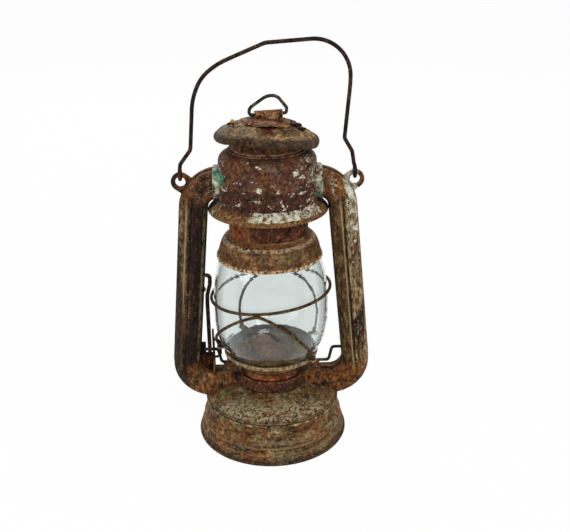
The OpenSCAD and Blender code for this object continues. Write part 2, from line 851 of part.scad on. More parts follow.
module lift_bracket() {
    side_x = tube_inner_x(pivot_z + 5);
    low_z = tube_low_z + 6;
    open_z = pivot_z - lever_eye_r - 1;
    color(rust) left_side() difference() {
        union() {
            translate([0, bracket_y + bracket_t, 0]) rotate([90, 0, 0]) linear_extrude(bracket_t) polygon([
                [side_x + 4, low_z], [flange_x, low_z], [flange_x, open_z],
                [side_x - 2.8, open_z], [side_x - 2.8, pivot_z + 5], [side_x + 4, pivot_z + 5]
            ]);
            translate([flange_x - flange_t / 2, 0, 0]) rotate([90, 0, 90]) linear_extrude(flange_t) {
                translate([flange_front_y, low_z])
                    square([flange_back_y - flange_front_y, pivot_z + 8 - low_z]);
                translate([flange_front_y, low_z])
                    square([bracket_y - flange_front_y, pivot_z + 14.7 - low_z]);
                translate([(bracket_y + flange_front_y) / 2, pivot_z + 14.7])
                    circle((bracket_y - flange_front_y) / 2);
                polygon([[-8, low_z], [0, low_z], [0, open_z], [-2, open_z]]);
            }
        }
        translate([flange_x - 3, 0, pivot_z]) rotate([0, 90, 0])
            cylinder(r = crank_wire_r + journal_gap, h = 6);
        tube_block();
        for (z = rivet_heights) rivet_place(z) cylinder(r = rivet_r, h = 6, center = true);
    }
}

rivet_r = 1;
rivet_heights = [pivot_z - 6.5, pivot_z - 11.5];

module rivet_place(z) {
    translate([flange_x + 4.4, bracket_y, z]) rotate([90, 0, 0]) children();
}

module bracket_rivets() {
    color(dark_wire) left_side() for (z = rivet_heights) rivet_place(z) {
        translate([0, 0, -bracket_t]) cylinder(r = rivet_r, h = bracket_t);
        cylinder(r1 = 1.9, r2 = 1.2, h = 0.8);
        translate([0, 0, -bracket_t - 0.8]) cylinder(r1 = 1.2, r2 = 1.9, h = 0.8);
    }
}

module bracket_loop() {
    wire_r = 0.9;
    side = flange_x - flange_t / 2;
    reach = 4.2;
    color(dark_wire) left_side() translate([0, loop_y, 0]) wire(
        [[side, pivot_z + 6], [side - reach, pivot_z + 6], [side - reach, pivot_z - 8.4],
         [side, pivot_z - 8.4]],
        [0, 3.6, 3.6, 0], wire_r);
}

module lever_stud() {
    x = tube_inner_x(stud_z);
    color(dark_wire) left_side() difference() {
        translate([x + 1, 0, stud_z]) rotate([0, -90, 0]) cylinder(r1 = 2.4, r2 = 1.2, h = 2);
        tube_block();
    }
}

// ---- Lift lever and cranks ----

module lift_lever() {
    hook_x = tube_inner_x(pivot_z + lever_h) - 0.5;
    color(dark_wire) left_side() {
        difference() {
            union() {
                route(
                    [[lever_x, pivot_z], [lever_x - 0.1, pivot_z + lever_h - 15.1],
                     [lever_x - 2.7, pivot_z + lever_h - 6.4], [lever_x - 2.7, pivot_z + lever_h],
                     [hook_x, pivot_z + lever_h]],
                    [0, 8, 6, 2.6, 0]
                ) {
                    lever_section(0);
                    lever_section(bend_grow);
                }
                translate([lever_x - lever_w / 2, 0, pivot_z]) rotate([0, 90, 0])
                    cylinder(r = lever_eye_r, h = lever_w);
            }
            translate([lever_x - 4, 0, pivot_z]) rotate([0, 90, 0]) cylinder(r = crank_wire_r, h = 8);
        }
    }
}

module lever_section(g) {
    intersection() {
        circle(lever_w * 0.56 + g);
        square([lever_w + 2 * g, 2.2 + 2 * g], center = true);
    }
}

module crank(arm_x) {
    translate([0, 0, pivot_z]) rotate([crank_drop - 90, 0, 0]) wire(
        [[pivot_tube_x + journal_in, 0], [arm_x, 0], [arm_x - crank_lean, -crank_l],
         [lug_x - 2.6, -crank_l]],
        [0, crank_bend_r, crank_bend_r, 0], crank_wire_r);
}

module left_crank() {
    color(dark_wire) left_side() crank(flange_x - flange_t / 2 - crank_bend_r);
}

module right_crank() {
    color(dark_wire) crank(45);
}

// ---- Globe carriage ----

module plate_outline() {
    polygon([
        [0, plate_z], [plate_flat_r, plate_z], [plate_r - 1.3, plate_top_z - 1.4],
        [plate_r, plate_top_z - 1.2], [plate_r, plate_top_z], [0, plate_top_z]
    ]);
}

module globe_plate() {
    color(rust) difference() {
        translate([globe_shift, 0, 0]) rotate_extrude() difference() {
            plate_outline();
            polygon([
                [-1, glass_z], [plate_flat_r - 0.3, glass_z], [plate_r - 1.6, plate_top_z - 0.6],
                [plate_r - 1.6, far], [-1, far]
            ]);
        }
        translate([0, 0, plate_z - 1]) cylinder(r = cone_r + 0.9, h = 10);
    }
}

module plate_lugs() {
    y_far = -crank_l;
    hole_r = crank_wire_r + lug_slot_gap;
    half_h = hole_r + lug_edge;
    color(rust) for (m = [0, 1]) mirror([m, 0, 0]) difference() {
        translate([lug_x - lug_t / 2, y_far - half_h, crank_z - half_h])
            cube([lug_t, crank_y - y_far + 2 * half_h, plate_top_z - crank_z + half_h]);
        for (y = [y_far, crank_y])
            translate([lug_x, y, crank_z]) rotate([0, 90, 0]) cylinder(r = hole_r, h = 4, center = true);
        translate([lug_x - 2, y_far, crank_z - hole_r]) cube([4, crank_y - y_far, 2 * hole_r]);
        mirror([m, 0, 0]) translate([globe_shift, 0, 0]) rotate_extrude() plate_outline();
    }
}

module at_feet() {
    for (a = concat(front_feet, rear_feet))
        translate([globe_shift, 0, 0]) rotate(a) children();
}

module guard_tabs() {
    inner = plate_r - sheet;
    color(rust) at_feet() difference() {
        translate([inner, -tab_w / 2, plate_top_z]) cube([foot_ring_r + tab_over - inner, tab_w, tab_t]);
    }
}

module guard_feet() {
    color(dark_wire) at_feet()
        translate([foot_ring_r, 0, tab_z]) cylinder(r = foot_post_r, h = foot_post_h);
}

module guard_ring() {
    color(dark_wire) translate([globe_shift, 0, guard_z])
        rotate([-guard_tilt_y, -guard_tilt_x, 0])
            rotate_extrude() translate([guard_r, 0]) circle(guard_wire_r);
}

// Points of an arch from one foot to the other: t runs from -1 through the top at 0 to 1.
// The wire leans outwards as it climbs, so that it stays clear of the glass.
function arch_point(t, feet, top, power) =
    let(
        span = t < 0 ? top - feet[0] : feet[1] - top,
        a = top + t * span,
        high = ring_z(top) - 2 * guard_wire_r,
        low = tab_z + 1,
        z = low + (high - low) * pow(1 - pow(abs(t), power), 1 / (power > 2 ? power : 1)),
        out = min(1, (z - low) / arch_rise),
        r = foot_ring_r + (guard_r - foot_ring_r) * sin(90 * out)
    )
    [globe_shift + r * cos(a), r * sin(a), z];

module guard_front_arch() {
    steps = 20;
    color(dark_wire) sweep(
        [for (i = [-steps:steps]) arch_point(i / steps, front_feet, front_top, 1.45)], guard_wire_r);
}

module guard_rear_arch() {
    steps = 20;
    color(dark_wire) sweep(
        [for (i = [-steps:steps]) arch_point(sin(90 * i / steps), rear_feet, rear_top, 2.4)], guard_wire_r);
}

module globe_glass() {
    steps = 32;
    heights = [for (i = [0:steps]) glass_z + glass_h * i / steps];
    color(clear_glass) translate([globe_shift, 0, 0]) rotate_extrude() polygon(concat(
        [for (z = heights) [glass_r(z), z]],
        [for (i = [steps:-1:0]) [glass_r(heights[i]) - glass_t, heights[i]]]
    ));
}

// ---- Sliding chimney ----

module chimney_tube() {
    low = dome_top_z - dome_overlap;
    color(red_rust) rotate_extrude() polygon([
        [chimney_r - sheet, low], [chimney_r, low], [chimney_r, seat_z], [neck_r, seat_z],
        [neck_r, neck_top_z], [neck_r - sheet, neck_top_z], [neck_r - sheet, seat_z - sheet],
        [chimney_r - sheet, seat_z - sheet]
    ]);
}

module chimney_dome() {
    outer = dome_points(0);
    inner = dome_points(sheet);
    color(rust) rotate_extrude() {
        polygon(concat(
            outer, [[chimney_r, dome_top_z], [chimney_r, dome_top_z - sheet]],
            [for (i = [len(inner) - 1:-1:0]) inner[i]]
        ));
        difference() {
            translate([dome_r - sheet / 2, dome_z - 0.4]) circle(lip_wire_r);
            translate([0, dome_z - 3]) square([dome_r - sheet, 6]);
        }
    }
}

module globe_seat() {
    top = glass_top_z + sheet;
    color(rust) rotate_extrude() polygon([
        [glass_foot_r - 5, glass_top_z], [dome_inner_r(glass_top_z), glass_top_z],
        [dome_inner_r(top), top], [glass_foot_r - 5, top]
    ]);
}

module spring_seat() {
    color(dark_wire) ring_solid(seat_r, neck_r, seat_z, seat_t);
}

module chimney_spring() {
    coil_r = (seat_r + neck_r) / 2;
    low = seat_z + seat_t + spring_wire_r;
    high = drum_top_z - sheet - spring_wire_r;
    steps = 20 * spring_turns;
    color(dark_wire) sweep(
        [for (i = [0:steps])
            [coil_r * cos(360 * spring_turns * i / steps), coil_r * sin(360 * spring_turns * i / steps),
             low + (high - low) * i / steps]],
        spring_wire_r, 6);
}

// ---- Hood ----

module hood_frame() {
    translate([0, 0, hood_z]) rotate([0, hood_tilt, 0]) children();
}

function hood_points(g) = concat(
    [for (a = [-70:20:50])
        [hood_r - hood_edge + (hood_edge - g) * cos(a), (hood_edge - g) * sin(a)]],
    [[hood_flat_r - g * 0.2, hood_flat_z - g], [cap_flat_r, cone_z(cap_flat_r) - g / cos(hood_slope)]]
);

module hood() {
    outer = hood_points(0);
    inner = hood_points(sheet);
    color(rust) hood_frame() difference() {
        rotate_extrude() polygon(concat(outer, [for (i = [len(inner) - 1:-1:0]) inner[i]]));
        translate([vent_x, -4, 0]) cylinder(r = vent_r, h = 20);
    }
}

module hood_struts() {
    inner = hood_points(sheet + 0.05);
    last = inner[len(inner) - 1];
    color(rust) intersection() {
        for (a = [45:90:315])
            rotate(a) translate([neck_r, -strut_w / 2, strut_low_z])
                cube([sheet, strut_w, hood_z + 20 - strut_low_z]);
        union() {
            hood_frame() rotate_extrude() polygon(concat(
                [[0, -3], [inner[0][0], -3]], inner, [[0, last[1]]]
            ));
            translate([0, 0, drum_top_z]) cylinder(r = hood_r, h = hood_gap);
        }
    }
}

module cap_outline() {
    polygon([
        [0, cone_z(cap_r)], [cap_r, cone_z(cap_r)], [cap_r, cone_z(cap_r) + skin],
        [cap_flat_r, cap_top_z], [0, cap_top_z]
    ]);
}

module top_cap() {
    color(rust) hood_frame() rotate_extrude() difference() {
        cap_outline();
        polygon([
            [0, 0], [cap_r + 1, cone_z(cap_r + 1)], [cap_flat_r, cone_z(cap_flat_r)],
            [0, cone_z(cap_flat_r)]
        ]);
    }
}

module sleeve_frame() {
    hood_frame() translate([0, 0, sleeve_axis_z]) rotate([0, -hood_tilt - sleeve_tilt, 0]) children();
}

module ring_sleeve() {
    color(rust) difference() {
        sleeve_frame() rotate([90, 0, 90]) translate([0, 0, -sleeve_l / 2]) linear_extrude(sleeve_l) {
            difference() {
                union() {
                    circle(sleeve_r);
                    translate([-sleeve_r, -5]) square([2 * sleeve_r, 5]);
                }
                circle(sleeve_bore_r);
            }
        }
        hood_frame() rotate_extrude() polygon([
            [0, 0], [cap_r + 1, cone_z(cap_r + 1)], [cap_r + 1, cone_z(cap_r + 1) + skin],
            [cap_flat_r, cap_top_z], [0, cap_top_z]
        ]);
    }
}

module carry_ring() {
    color(dark_wire) sleeve_frame() wire(ring_points, ring_bends, ring_wire_r);
}

// ---- Ears and bail ----

module bail() {
    color(dark_wire) {
        wire(bail_points, concat([0], bail_bends, [0]), bail_wire_r);
        for (s = [-1, 1])
            translate([s * ear_x, 0, eye_z]) rotate([0, 90, 0])
                rotate_extrude() translate([eye_r, 0]) circle(bail_wire_r - 0.06);
    }
}

tank_pan();
tank_floor();
tank_top();
filler_neck();
filler_gasket();
filler_cap();
left_side() tube_half(-1);  // left_tube_front
left_side() tube_half(1);  // left_tube_rear
tube_half(-1);  // right_tube_front
tube_half(1);  // right_tube_rear
left_side() ear();  // left_ear
ear();  // right_ear
left_side() drum_socket();  // left_drum_socket
drum_socket();  // right_drum_socket
left_side() tank_socket();  // left_tank_socket
tank_socket();  // right_tank_socket
air_drum();
drum_collar();
drum_skirt();
burner_throat();
burner_collar();
burner_body();
wick_tube();
burner_band();
burner_deck();
burner_cone();
wick();
wick_spindle();
wick_wheels();
wick_knob();
lift_bracket();
bracket_rivets();
bracket_loop();
lever_stud();
lift_lever();
left_crank();
right_crank();
globe_plate();
plate_lugs();
guard_tabs();
guard_feet();
guard_ring();
guard_front_arch();
guard_rear_arch();
globe_glass();
chimney_tube();
chimney_dome();
globe_seat();
spring_seat();
chimney_spring();
hood();
hood_struts();
top_cap();
ring_sleeve();
carry_ring();
bail();
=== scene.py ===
"""Looks of the hanging oil lantern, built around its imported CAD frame.

Lengths in the comments are millimetres.
"""

import math

import bmesh
import bpy
from mathutils import Matrix, Vector, noise


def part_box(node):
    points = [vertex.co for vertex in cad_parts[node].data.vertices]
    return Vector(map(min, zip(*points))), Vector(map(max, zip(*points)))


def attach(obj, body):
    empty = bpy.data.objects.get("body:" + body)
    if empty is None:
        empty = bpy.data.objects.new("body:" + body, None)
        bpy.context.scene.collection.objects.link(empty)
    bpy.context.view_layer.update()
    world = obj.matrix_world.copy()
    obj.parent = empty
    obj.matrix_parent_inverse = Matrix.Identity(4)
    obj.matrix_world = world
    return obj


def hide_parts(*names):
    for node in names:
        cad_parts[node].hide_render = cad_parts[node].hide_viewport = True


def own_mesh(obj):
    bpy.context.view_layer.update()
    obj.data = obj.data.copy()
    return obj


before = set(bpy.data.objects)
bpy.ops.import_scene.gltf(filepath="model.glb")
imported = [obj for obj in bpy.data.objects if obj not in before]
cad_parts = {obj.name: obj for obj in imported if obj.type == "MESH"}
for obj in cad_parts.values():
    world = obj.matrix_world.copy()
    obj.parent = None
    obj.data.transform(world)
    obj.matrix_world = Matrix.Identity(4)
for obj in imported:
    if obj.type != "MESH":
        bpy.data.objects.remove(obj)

for name in ("Cube", "Light", "Camera"):  # the factory scene's own objects
    if name in bpy.data.objects:
        bpy.data.objects.remove(bpy.data.objects[name], do_unlink=True)
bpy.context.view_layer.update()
MM = 0.001


def shade(code):
    """A colour as the eye sees it, written rrggbb, as Blender's linear colour."""
    parts = [int(code[i : i + 2], 16) / 255 for i in (0, 2, 4)]
    return [c / 12.92 if c <= 0.04045 else ((c + 0.055) / 1.055) ** 2.4 for c in parts] + [1.0]


# ---- Materials ----


def box_mm(node):
    """The lowest and highest corner of a CAD node, in millimetres."""
    return [[c / MM for c in corner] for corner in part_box(node)]


class Value:
    """A number that changes over the surface, with plain arithmetic on it."""

    def __init__(self, graph, socket):
        self.graph, self.socket = graph, socket

    def op(self, kind, a, b=0.0, clamp=False):
        node = self.graph.node("ShaderNodeMath", operation=kind, use_clamp=clamp)
        self.graph.put(node.inputs[0], a)
        self.graph.put(node.inputs[1], b)
        return Value(self.graph, node.outputs[0])

    def __add__(self, other):
        return self.op("ADD", self, other)

    def __radd__(self, other):
        return self.op("ADD", other, self)

    def __sub__(self, other):
        return self.op("SUBTRACT", self, other)

    def __rsub__(self, other):
        return self.op("SUBTRACT", other, self)

    def __mul__(self, other):
        return self.op("MULTIPLY", self, other)

    __rmul__ = __mul__

    def most(self, other):
        return self.op("MAXIMUM", self, other)

    def size(self):
        return self.op("ABSOLUTE", self)

    def clamped(self):
        return self.op("ADD", self, 0.0, clamp=True)

    def over(self, low, high):
        """0 below low, 1 above high and smooth between them; falling where low is the larger."""
        node = self.graph.node("ShaderNodeMapRange", interpolation_type="SMOOTHSTEP")
        self.graph.put(node.inputs["Value"], self)
        if low < high:
            ends, ways = (low, high), (0.0, 1.0)
        else:
            ends, ways = (high, low), (1.0, 0.0)
        node.inputs["From Min"].default_value, node.inputs["From Max"].default_value = ends
        node.inputs["To Min"].default_value, node.inputs["To Max"].default_value = ways
        return Value(self.graph, node.outputs["Result"])

    def between(self, low, high, soft):
        return self.over(low - soft, low + soft) * self.over(high + soft, high - soft)


class Graph:
    """The nodes of one material. x, y, z are the piece's own coordinates in millimetres."""

    def __init__(self, name):
        self.material = bpy.data.materials.new(name)
        self.material.use_nodes = True
        self.tree = self.material.node_tree
        self.tree.nodes.clear()
        self.spaces = {}
        coords = self.node("ShaderNodeTexCoord").outputs["Object"]
        scaled = self.node("ShaderNodeVectorMath", operation="SCALE")
        self.tree.links.new(coords, scaled.inputs[0])
        scaled.inputs["Scale"].default_value = 1 / MM
        self.place = scaled.outputs[0]
        split = self.node("ShaderNodeSeparateXYZ")
        self.tree.links.new(self.place, split.inputs[0])
        self.x, self.y, self.z = (Value(self, s) for s in split.outputs)

    def node(self, kind, **settings):
        node = self.tree.nodes.new(kind)
        for key, value in settings.items():
            setattr(node, key, value)
        return node

    def put(self, socket, value):
        if isinstance(value, Value):
            self.tree.links.new(value.socket, socket)
        elif isinstance(value, bpy.types.NodeSocket):
            self.tree.links.new(value, socket)
        elif isinstance(value, str):
            socket.default_value = shade(value)
        else:
            socket.default_value = value

    def space(self, stretch, seed):
        key = (stretch, seed)
        if key not in self.spaces:
            node = self.node("ShaderNodeMapping")
            self.tree.links.new(self.place, node.inputs["Vector"])
            node.inputs["Scale"].default_value = stretch
            node.inputs["Location"].default_value = (seed * 7.3, seed * 3.1, -seed * 5.7)
            self.spaces[key] = node.outputs[0]
        return self.spaces[key]

    def noise(self, size, detail=4.0, rough=0.6, bend=0.0, stretch=(1, 1, 1), seed=0):
        """Cloudy spots about size millimetres across."""
        node = self.node("ShaderNodeTexNoise", noise_dimensions="3D")
        self.tree.links.new(self.space(stretch, seed), node.inputs["Vector"])
        node.inputs["Scale"].default_value = 1 / size
        node.inputs["Detail"].default_value = detail
        node.inputs["Roughness"].default_value = rough
        node.inputs["Distortion"].default_value = bend
        return Value(self, node.outputs["Fac"])

    def cells(self, size, feature="F1", stretch=(1, 1, 1), seed=0):
        """Distance from the nearest of some scattered points, or to the border between them."""
        node = self.node("ShaderNodeTexVoronoi", feature=feature)
        self.tree.links.new(self.space(stretch, seed), node.inputs["Vector"])
        node.inputs["Scale"].default_value = 1 / size
        return Value(self, node.outputs["Distance"])

    def near(self, centre, reach, soft):
        """1 within reach of a point, 0 past reach + soft."""
        node = self.node("ShaderNodeVectorMath", operation="DISTANCE")
        self.tree.links.new(self.place, node.inputs[0])
        node.inputs[1].default_value = centre
        return Value(self, node.outputs["Value"]).over(reach + soft, reach)

    def radius(self):
        return (self.x * self.x + self.y * self.y).op("SQRT", self.x * self.x + self.y * self.y)

    def angle(self):
        """Direction round the lantern's axis in degrees, -90 at the front."""
        turn = self.node("ShaderNodeMath", operation="ARCTAN2")
        self.put(turn.inputs[0], self.y)
        self.put(turn.inputs[1], self.x)
        return Value(self, turn.outputs[0]) * (180 / math.pi)

    def mix(self, share, first, second):
        node = self.node("ShaderNodeMix", data_type="RGBA", blend_type="MIX")
        self.put(node.inputs["Factor"], share)
        self.put(node.inputs[6], first)
        self.put(node.inputs[7], second)
        return node.outputs[2]

    def ramp(self, value, stops):
        node = self.node("ShaderNodeValToRGB")
        self.put(node.inputs[0], value)
        slots = node.color_ramp.elements
        while len(slots) < len(stops):
            slots.new(0.5)
        for slot, (at, code) in zip(slots, stops):
            slot.position = at
            slot.color = shade(code)
        return node.outputs[0]

    def corner_shade(self, reach, low=0.35, high=0.9):
        """A mask for painted shade: 1 deep in corners, 0 on open faces."""
        node = self.node("ShaderNodeAmbientOcclusion", samples=8)
        node.inputs["Distance"].default_value = reach * MM
        return Value(self, node.outputs["AO"]).over(high, low)

    def edge(self, reach=0.7, low=0.03, high=0.16):
        """1 along sharp edges, from how far a rounded normal turns away from the face's own."""
        rounded = self.node("ShaderNodeBevel", samples=4)
        rounded.inputs["Radius"].default_value = reach * MM
        turned = self.node("ShaderNodeVectorMath", operation="DOT_PRODUCT")
        self.tree.links.new(rounded.outputs[0], turned.inputs[0])
        self.tree.links.new(self.node("ShaderNodeNewGeometry").outputs["Normal"], turned.inputs[1])
        return (1 - Value(self, turned.outputs["Value"])).over(low, high)

    def bump(self, height, depth):
        """A bumped normal, depth millimetres from the height's 0 to its 1."""
        node = self.node("ShaderNodeBump")
        node.inputs["Strength"].default_value = 1.0
        node.inputs["Distance"].default_value = depth * MM
        self.put(node.inputs["Height"], height)
        return node.outputs[0]

    def finish(self, colour, roughness, normal=None, **fixed):
        shader = self.node("ShaderNodeBsdfPrincipled")
        self.put(shader.inputs["Base Color"], colour)
        self.put(shader.inputs["Roughness"], roughness)
        if normal is not None:
            self.put(shader.inputs["Normal"], normal)
        for key, value in fixed.items():
            self.put(shader.inputs[key.replace("_", " ").title().replace("Ior", "IOR")], value)
        out = self.node("ShaderNodeOutputMaterial")
        self.tree.links.new(shader.outputs[0], out.inputs["Surface"])
        return self.material


def corroded(name, tones, bare, crust, layers=None, seed=0, stretch=(1, 1, 1), blotch=14, wear=0.5,
             pits=0.45, metal=0.0, other=None, gain=4.8, gloss=0.0, scaly=0.92):
    """Rusted sheet or wire. tones run from the darkest to the lightest rust, and other are the tones of
    patches of a second colour. bare is the worn metal in specks and on edges, crust the near-black scale
    and also the colour of the painted shade put into corners. layers adds paint and stains, and on some
    pieces painted shade and painted highlights."""
    g = Graph(name)
    large = g.noise(blotch, 5, 0.62, 0.4, stretch, seed)
    middle = g.noise(blotch / 3.8, 4, 0.64, 0.3, stretch, seed + 1)
    small = g.noise(1.9, 3, 0.66, 0.0, (1, 1, 1), seed + 2)
    grain = g.noise(0.5, 2, 0.7, 0.0, (1, 1, 1), seed + 3)
    light = (large * 0.4 + middle * 0.36 + small * 0.24 - 0.5) * gain + 0.46
    colour = g.ramp(light, tones)
    patch = g.noise(blotch * 0.9, 3, 0.6, 0.3, stretch, seed + 4)
    if other:
        colour = g.mix(patch.over(0.47, 0.58), colour, g.ramp(light, other))
    specks = (g.noise(1.5, 3, 0.7, 0.2, (1, 1, 1), seed + 5) + (patch - 0.5) * 0.3).over(0.585, 0.635)
    edges = g.edge() * g.noise(2.4, 3, 0.7, 0.0, (1, 1, 1), seed + 6).over(0.4, 0.56)
    worn = (specks * wear).most(edges * 0.75)
    colour = g.mix(worn, colour, bare)
    scale = (g.noise(2.6, 4, 0.72, 0.5, stretch, seed + 7) - (patch - 0.5) * 0.4).over(0.56, 0.61)
    colour = g.mix(scale * scaly, colour, crust)
    height = middle * 0.5 + small * 0.35 + grain * 0.15 + scale * 0.35
    rough = 0.66 + scale * 0.22 - worn * 0.14 - gloss
    for mask, paint, lift, shine in (layers(g) if layers else []):
        colour = g.mix(mask, colour, paint)
        height = height + mask * lift
        rough = rough + mask * (shine - 0.66)
    # Painted shade: corners and gaps between parts are darkened towards the crust colour.
    deep = g.corner_shade(5)
    colour = g.mix(deep * 0.85, colour, crust)
    return g.finish(colour, rough, g.bump(height, pits), metallic=metal, specular_ior_level=0.16)


def flakes(g, amount, size=5.0, seed=20):
    """Ragged islands of old paint. amount, from -1 to 1, says how much of it is left."""
    field = g.noise(size, 5, 0.66, 0.5, (1, 1, 1), seed)
    chips = g.noise(size / 5, 3, 0.7, 0.0, (1, 1, 1), seed + 1)
    return (field * 0.72 + chips * 0.28 + amount * 0.25).over(0.565, 0.595)


def cream(g, seed):
    """Old off-white paint with its own stains."""
    stain = g.noise(3.4, 5, 0.72, 0.2, (1, 1, 1), seed)
    return g.ramp(stain, [(0.32, "6f6146"), (0.43, "b3a98c"), (0.53, "d3cfba"), (0.75, "efeee4")])


def tank_layers(g):
    """Greener on the shoulder, redder towards the foot and at the right, with a paler, finely worn band
    round the shoulder's front. The pan's beads get painted shade in their grooves and painted highlights on
    their crests, and the pan is darkened near its bottom edge as painted shade."""
    shoulder = g.z.over(30, 33)
    field = g.noise(18, 4, 0.6, 0.3, (1, 1, 0.7), 31) - 0.5
    light = g.noise(2.8, 4, 0.7, 0.2, (1, 1, 1), 34)
    olive = (field + shoulder * 0.07 - g.x * 0.0012).over(0.02, 0.1)
    orange = (g.noise(13, 4, 0.6, 0.5, (1, 1, 0.45), 32) - 0.5 + g.x.size() * 0.001).over(0.03, 0.09)
    front = g.z.between(31.5, 40, 2) * g.y.over(-24, -34)
    worn = front * (g.noise(2.1, 4, 0.7, 0.3, (1, 1, 1), 35) + 0.02).over(0.5, 0.56)
    dark = (g.noise(9, 5, 0.66, 0.6, (1, 1, 0.5), 36) - 0.5).over(0.05, 0.12)
    scale = shoulder * (g.noise(3.2, 4, 0.72, 0.6, (1, 1, 1), 39) + (front - 0.5) * 0.02).over(0.54, 0.58)
    # Painted shade: the pan darkens over its lowest few millimetres.
    foot = g.z.over(5.5, 2.2)
    band = g.z.between(15, 17.6, 0.8) * g.noise(8, 4, 0.66, 0.2, (1, 1, 1), 37).over(0.42, 0.52)
    pale = g.z.over(27.5, 24) * flakes(g, g.angle().between(-150, -110, 14) * 0.3 - 0.5, 3.2, 33)
    rolled = g.noise(7, 4, 0.66, 0.2, (1, 1, 1), 38).over(0.4, 0.5)
    # Painted shade in the grooves of the pan's beads and painted highlights on their crests.
    groove_shade = g.z.between(10.2, 11, 0.4).most(g.z.between(5.6, 6.3, 0.4)) * rolled
    crest_highlight = g.z.between(11.3, 12.8, 0.5).most(g.z.between(6.6, 7.6, 0.5)) * rolled
    return [
        (
            olive * 0.5,
            g.ramp(light, [(0.34, "211c10"), (0.46, "554c30"), (0.56, "857a54"), (0.68, "aea37c")]),
            0.0, 0.6,
        ),
        (
            orange * (0.75 - shoulder * 0.4),
            g.ramp(light, [(0.34, "2f1509"), (0.46, "65371a"), (0.56, "8a5a30"), (0.7, "bd9462")]),
            0.0, 0.75,
        ),
        (dark * 0.5, g.ramp(light, [(0.4, "1a0f08"), (0.54, "3a2416"), (0.7, "6c5134")]), 0.0, 0.7),
        (band * 0.4, g.ramp(light, [(0.36, "5a4428"), (0.5, "96805a"), (0.66, "c4b48c")]), 0.2, 0.5),
        (crest_highlight * 0.4, "a2855c", 0.2, 0.5),
        (groove_shade * 0.6, "241409", -0.5, 0.7),
        (scale * 0.7, "241709", 0.2, 0.8),
        (worn * 0.75, "b3a583", 0.3, 0.5),
        (pale * 0.75, "bfb190", 0.3, 0.5),
        (foot * 0.75, g.ramp(light, [(0.4, "140c07"), (0.54, "3c2817"), (0.7, "7c6240")]), 0.0, 0.6),
    ]


def tube_layers(g):
    """Across a tube, out runs from its inner to its outer side in millimetres."""
    right = g.x.over(-1, 1)
    left = 1 - right
    out = g.x.size() - (49.85 + (194.5 - g.z) * 0.0901)
    upright = g.z.between(54, 182, 7)
    streak = g.noise(8, 5, 0.66, 0.4, (1, 1, 0.22), 41)
    fleck = g.noise(2.2, 4, 0.72, 0.2, (1, 1, 0.5), 42)
    tan = out.over(1.5, 4.5) * left * upright * streak.over(0.37, 0.47)
    dark = out.over(3, -1.5) * left * upright * streak.over(0.3, 0.42)
    film = right * out.over(-1, 1.5) * upright * streak.over(0.4, 0.5)
    olive = out.over(-1.5, -3.5) * right * upright * streak.over(0.38, 0.5)
    edge = left * out.between(-8.9, -7.4, 0.5) * upright * fleck.over(0.42, 0.52)
    # Painted shade: near-black lines along the tubes' grooves; painted highlights: pale lines along their
    # ridges.
    tube_groove_shade = (right * out.between(-0.9, 0.1, 0.35)).most(right * out.between(2.4, 3.2, 0.4) * 0.6)
    tube_groove_shade = tube_groove_shade.most(left * out.between(0.4, 1.3, 0.4)) * upright
    ridge_highlight = (right * out.between(-2.6, -1.6, 0.35)).most(left * out.between(3.6, 4.5, 0.4)) * upright
    orange = (g.z.over(64, 50) + g.z.over(180, 190)).clamped()
    orange = orange * g.noise(9, 4, 0.6, 0.5, (1, 1, 1), 45).over(0.42, 0.5)
    top = g.z.over(176, 190)
    paint = right * (
        out.over(-0.2, 2) * (g.z.over(96, 130) * 0.36 + g.z.over(128, 165) * 0.42) + top * 0.28
    )
    by_drum = left * top * g.x.over(-54, -40) * 0.5
    ears = g.x.size().over(60.5, 63)
    shoulder = right * top * out.over(-15, -9) * 0.54
    amount = paint.most(shoulder) + by_drum - 0.55 - ears * 0.45
    return [
        (
            tan * 0.55,
            g.ramp(fleck, [(0.39, "1a0e08"), (0.47, "5c452a"), (0.56, "8c744d"), (0.7, "bda981")]),
            0.0, 0.6,
        ),
        (
            dark * 0.94,
            g.ramp(fleck, [(0.42, "050202"), (0.53, "190b07"), (0.63, "45261a"), (0.75, "7c5a3c")]),
            0.0, 0.7,
        ),
        (
            olive * 0.75,
            g.ramp(fleck, [(0.37, "170c05"), (0.47, "452d17"), (0.57, "705736"), (0.7, "a39063")]),
            0.0, 0.6,
        ),
        (
            film * 0.8,
            g.ramp(fleck, [(0.36, "38200f"), (0.46, "7a5c3a"), (0.55, "a8926c"), (0.68, "d0c3a2")]),
            0.1, 0.55,
        ),
        (
            orange * 0.7,
            g.ramp(fleck, [(0.36, "1f0d06"), (0.46, "5c2f12"), (0.56, "8a5526"), (0.7, "b88950")]),
            0.0, 0.75,
        ),
        (ridge_highlight * 0.6, "b39c70", 0.5, 0.5),
        (edge * 0.5, "93845c", 0.0, 0.5),
        (tube_groove_shade * 0.92, "120905", -1.0, 0.8),
        (
            ears * left * 0.85,
            g.ramp(fleck, [(0.4, "0f0805"), (0.56, "2a1a10"), (0.74, "5c452c")]),
            0.0, 0.7,
        ),
        (flakes(g, amount, 4.6, 43), cream(g, 44), 0.5, 0.42),
    ]


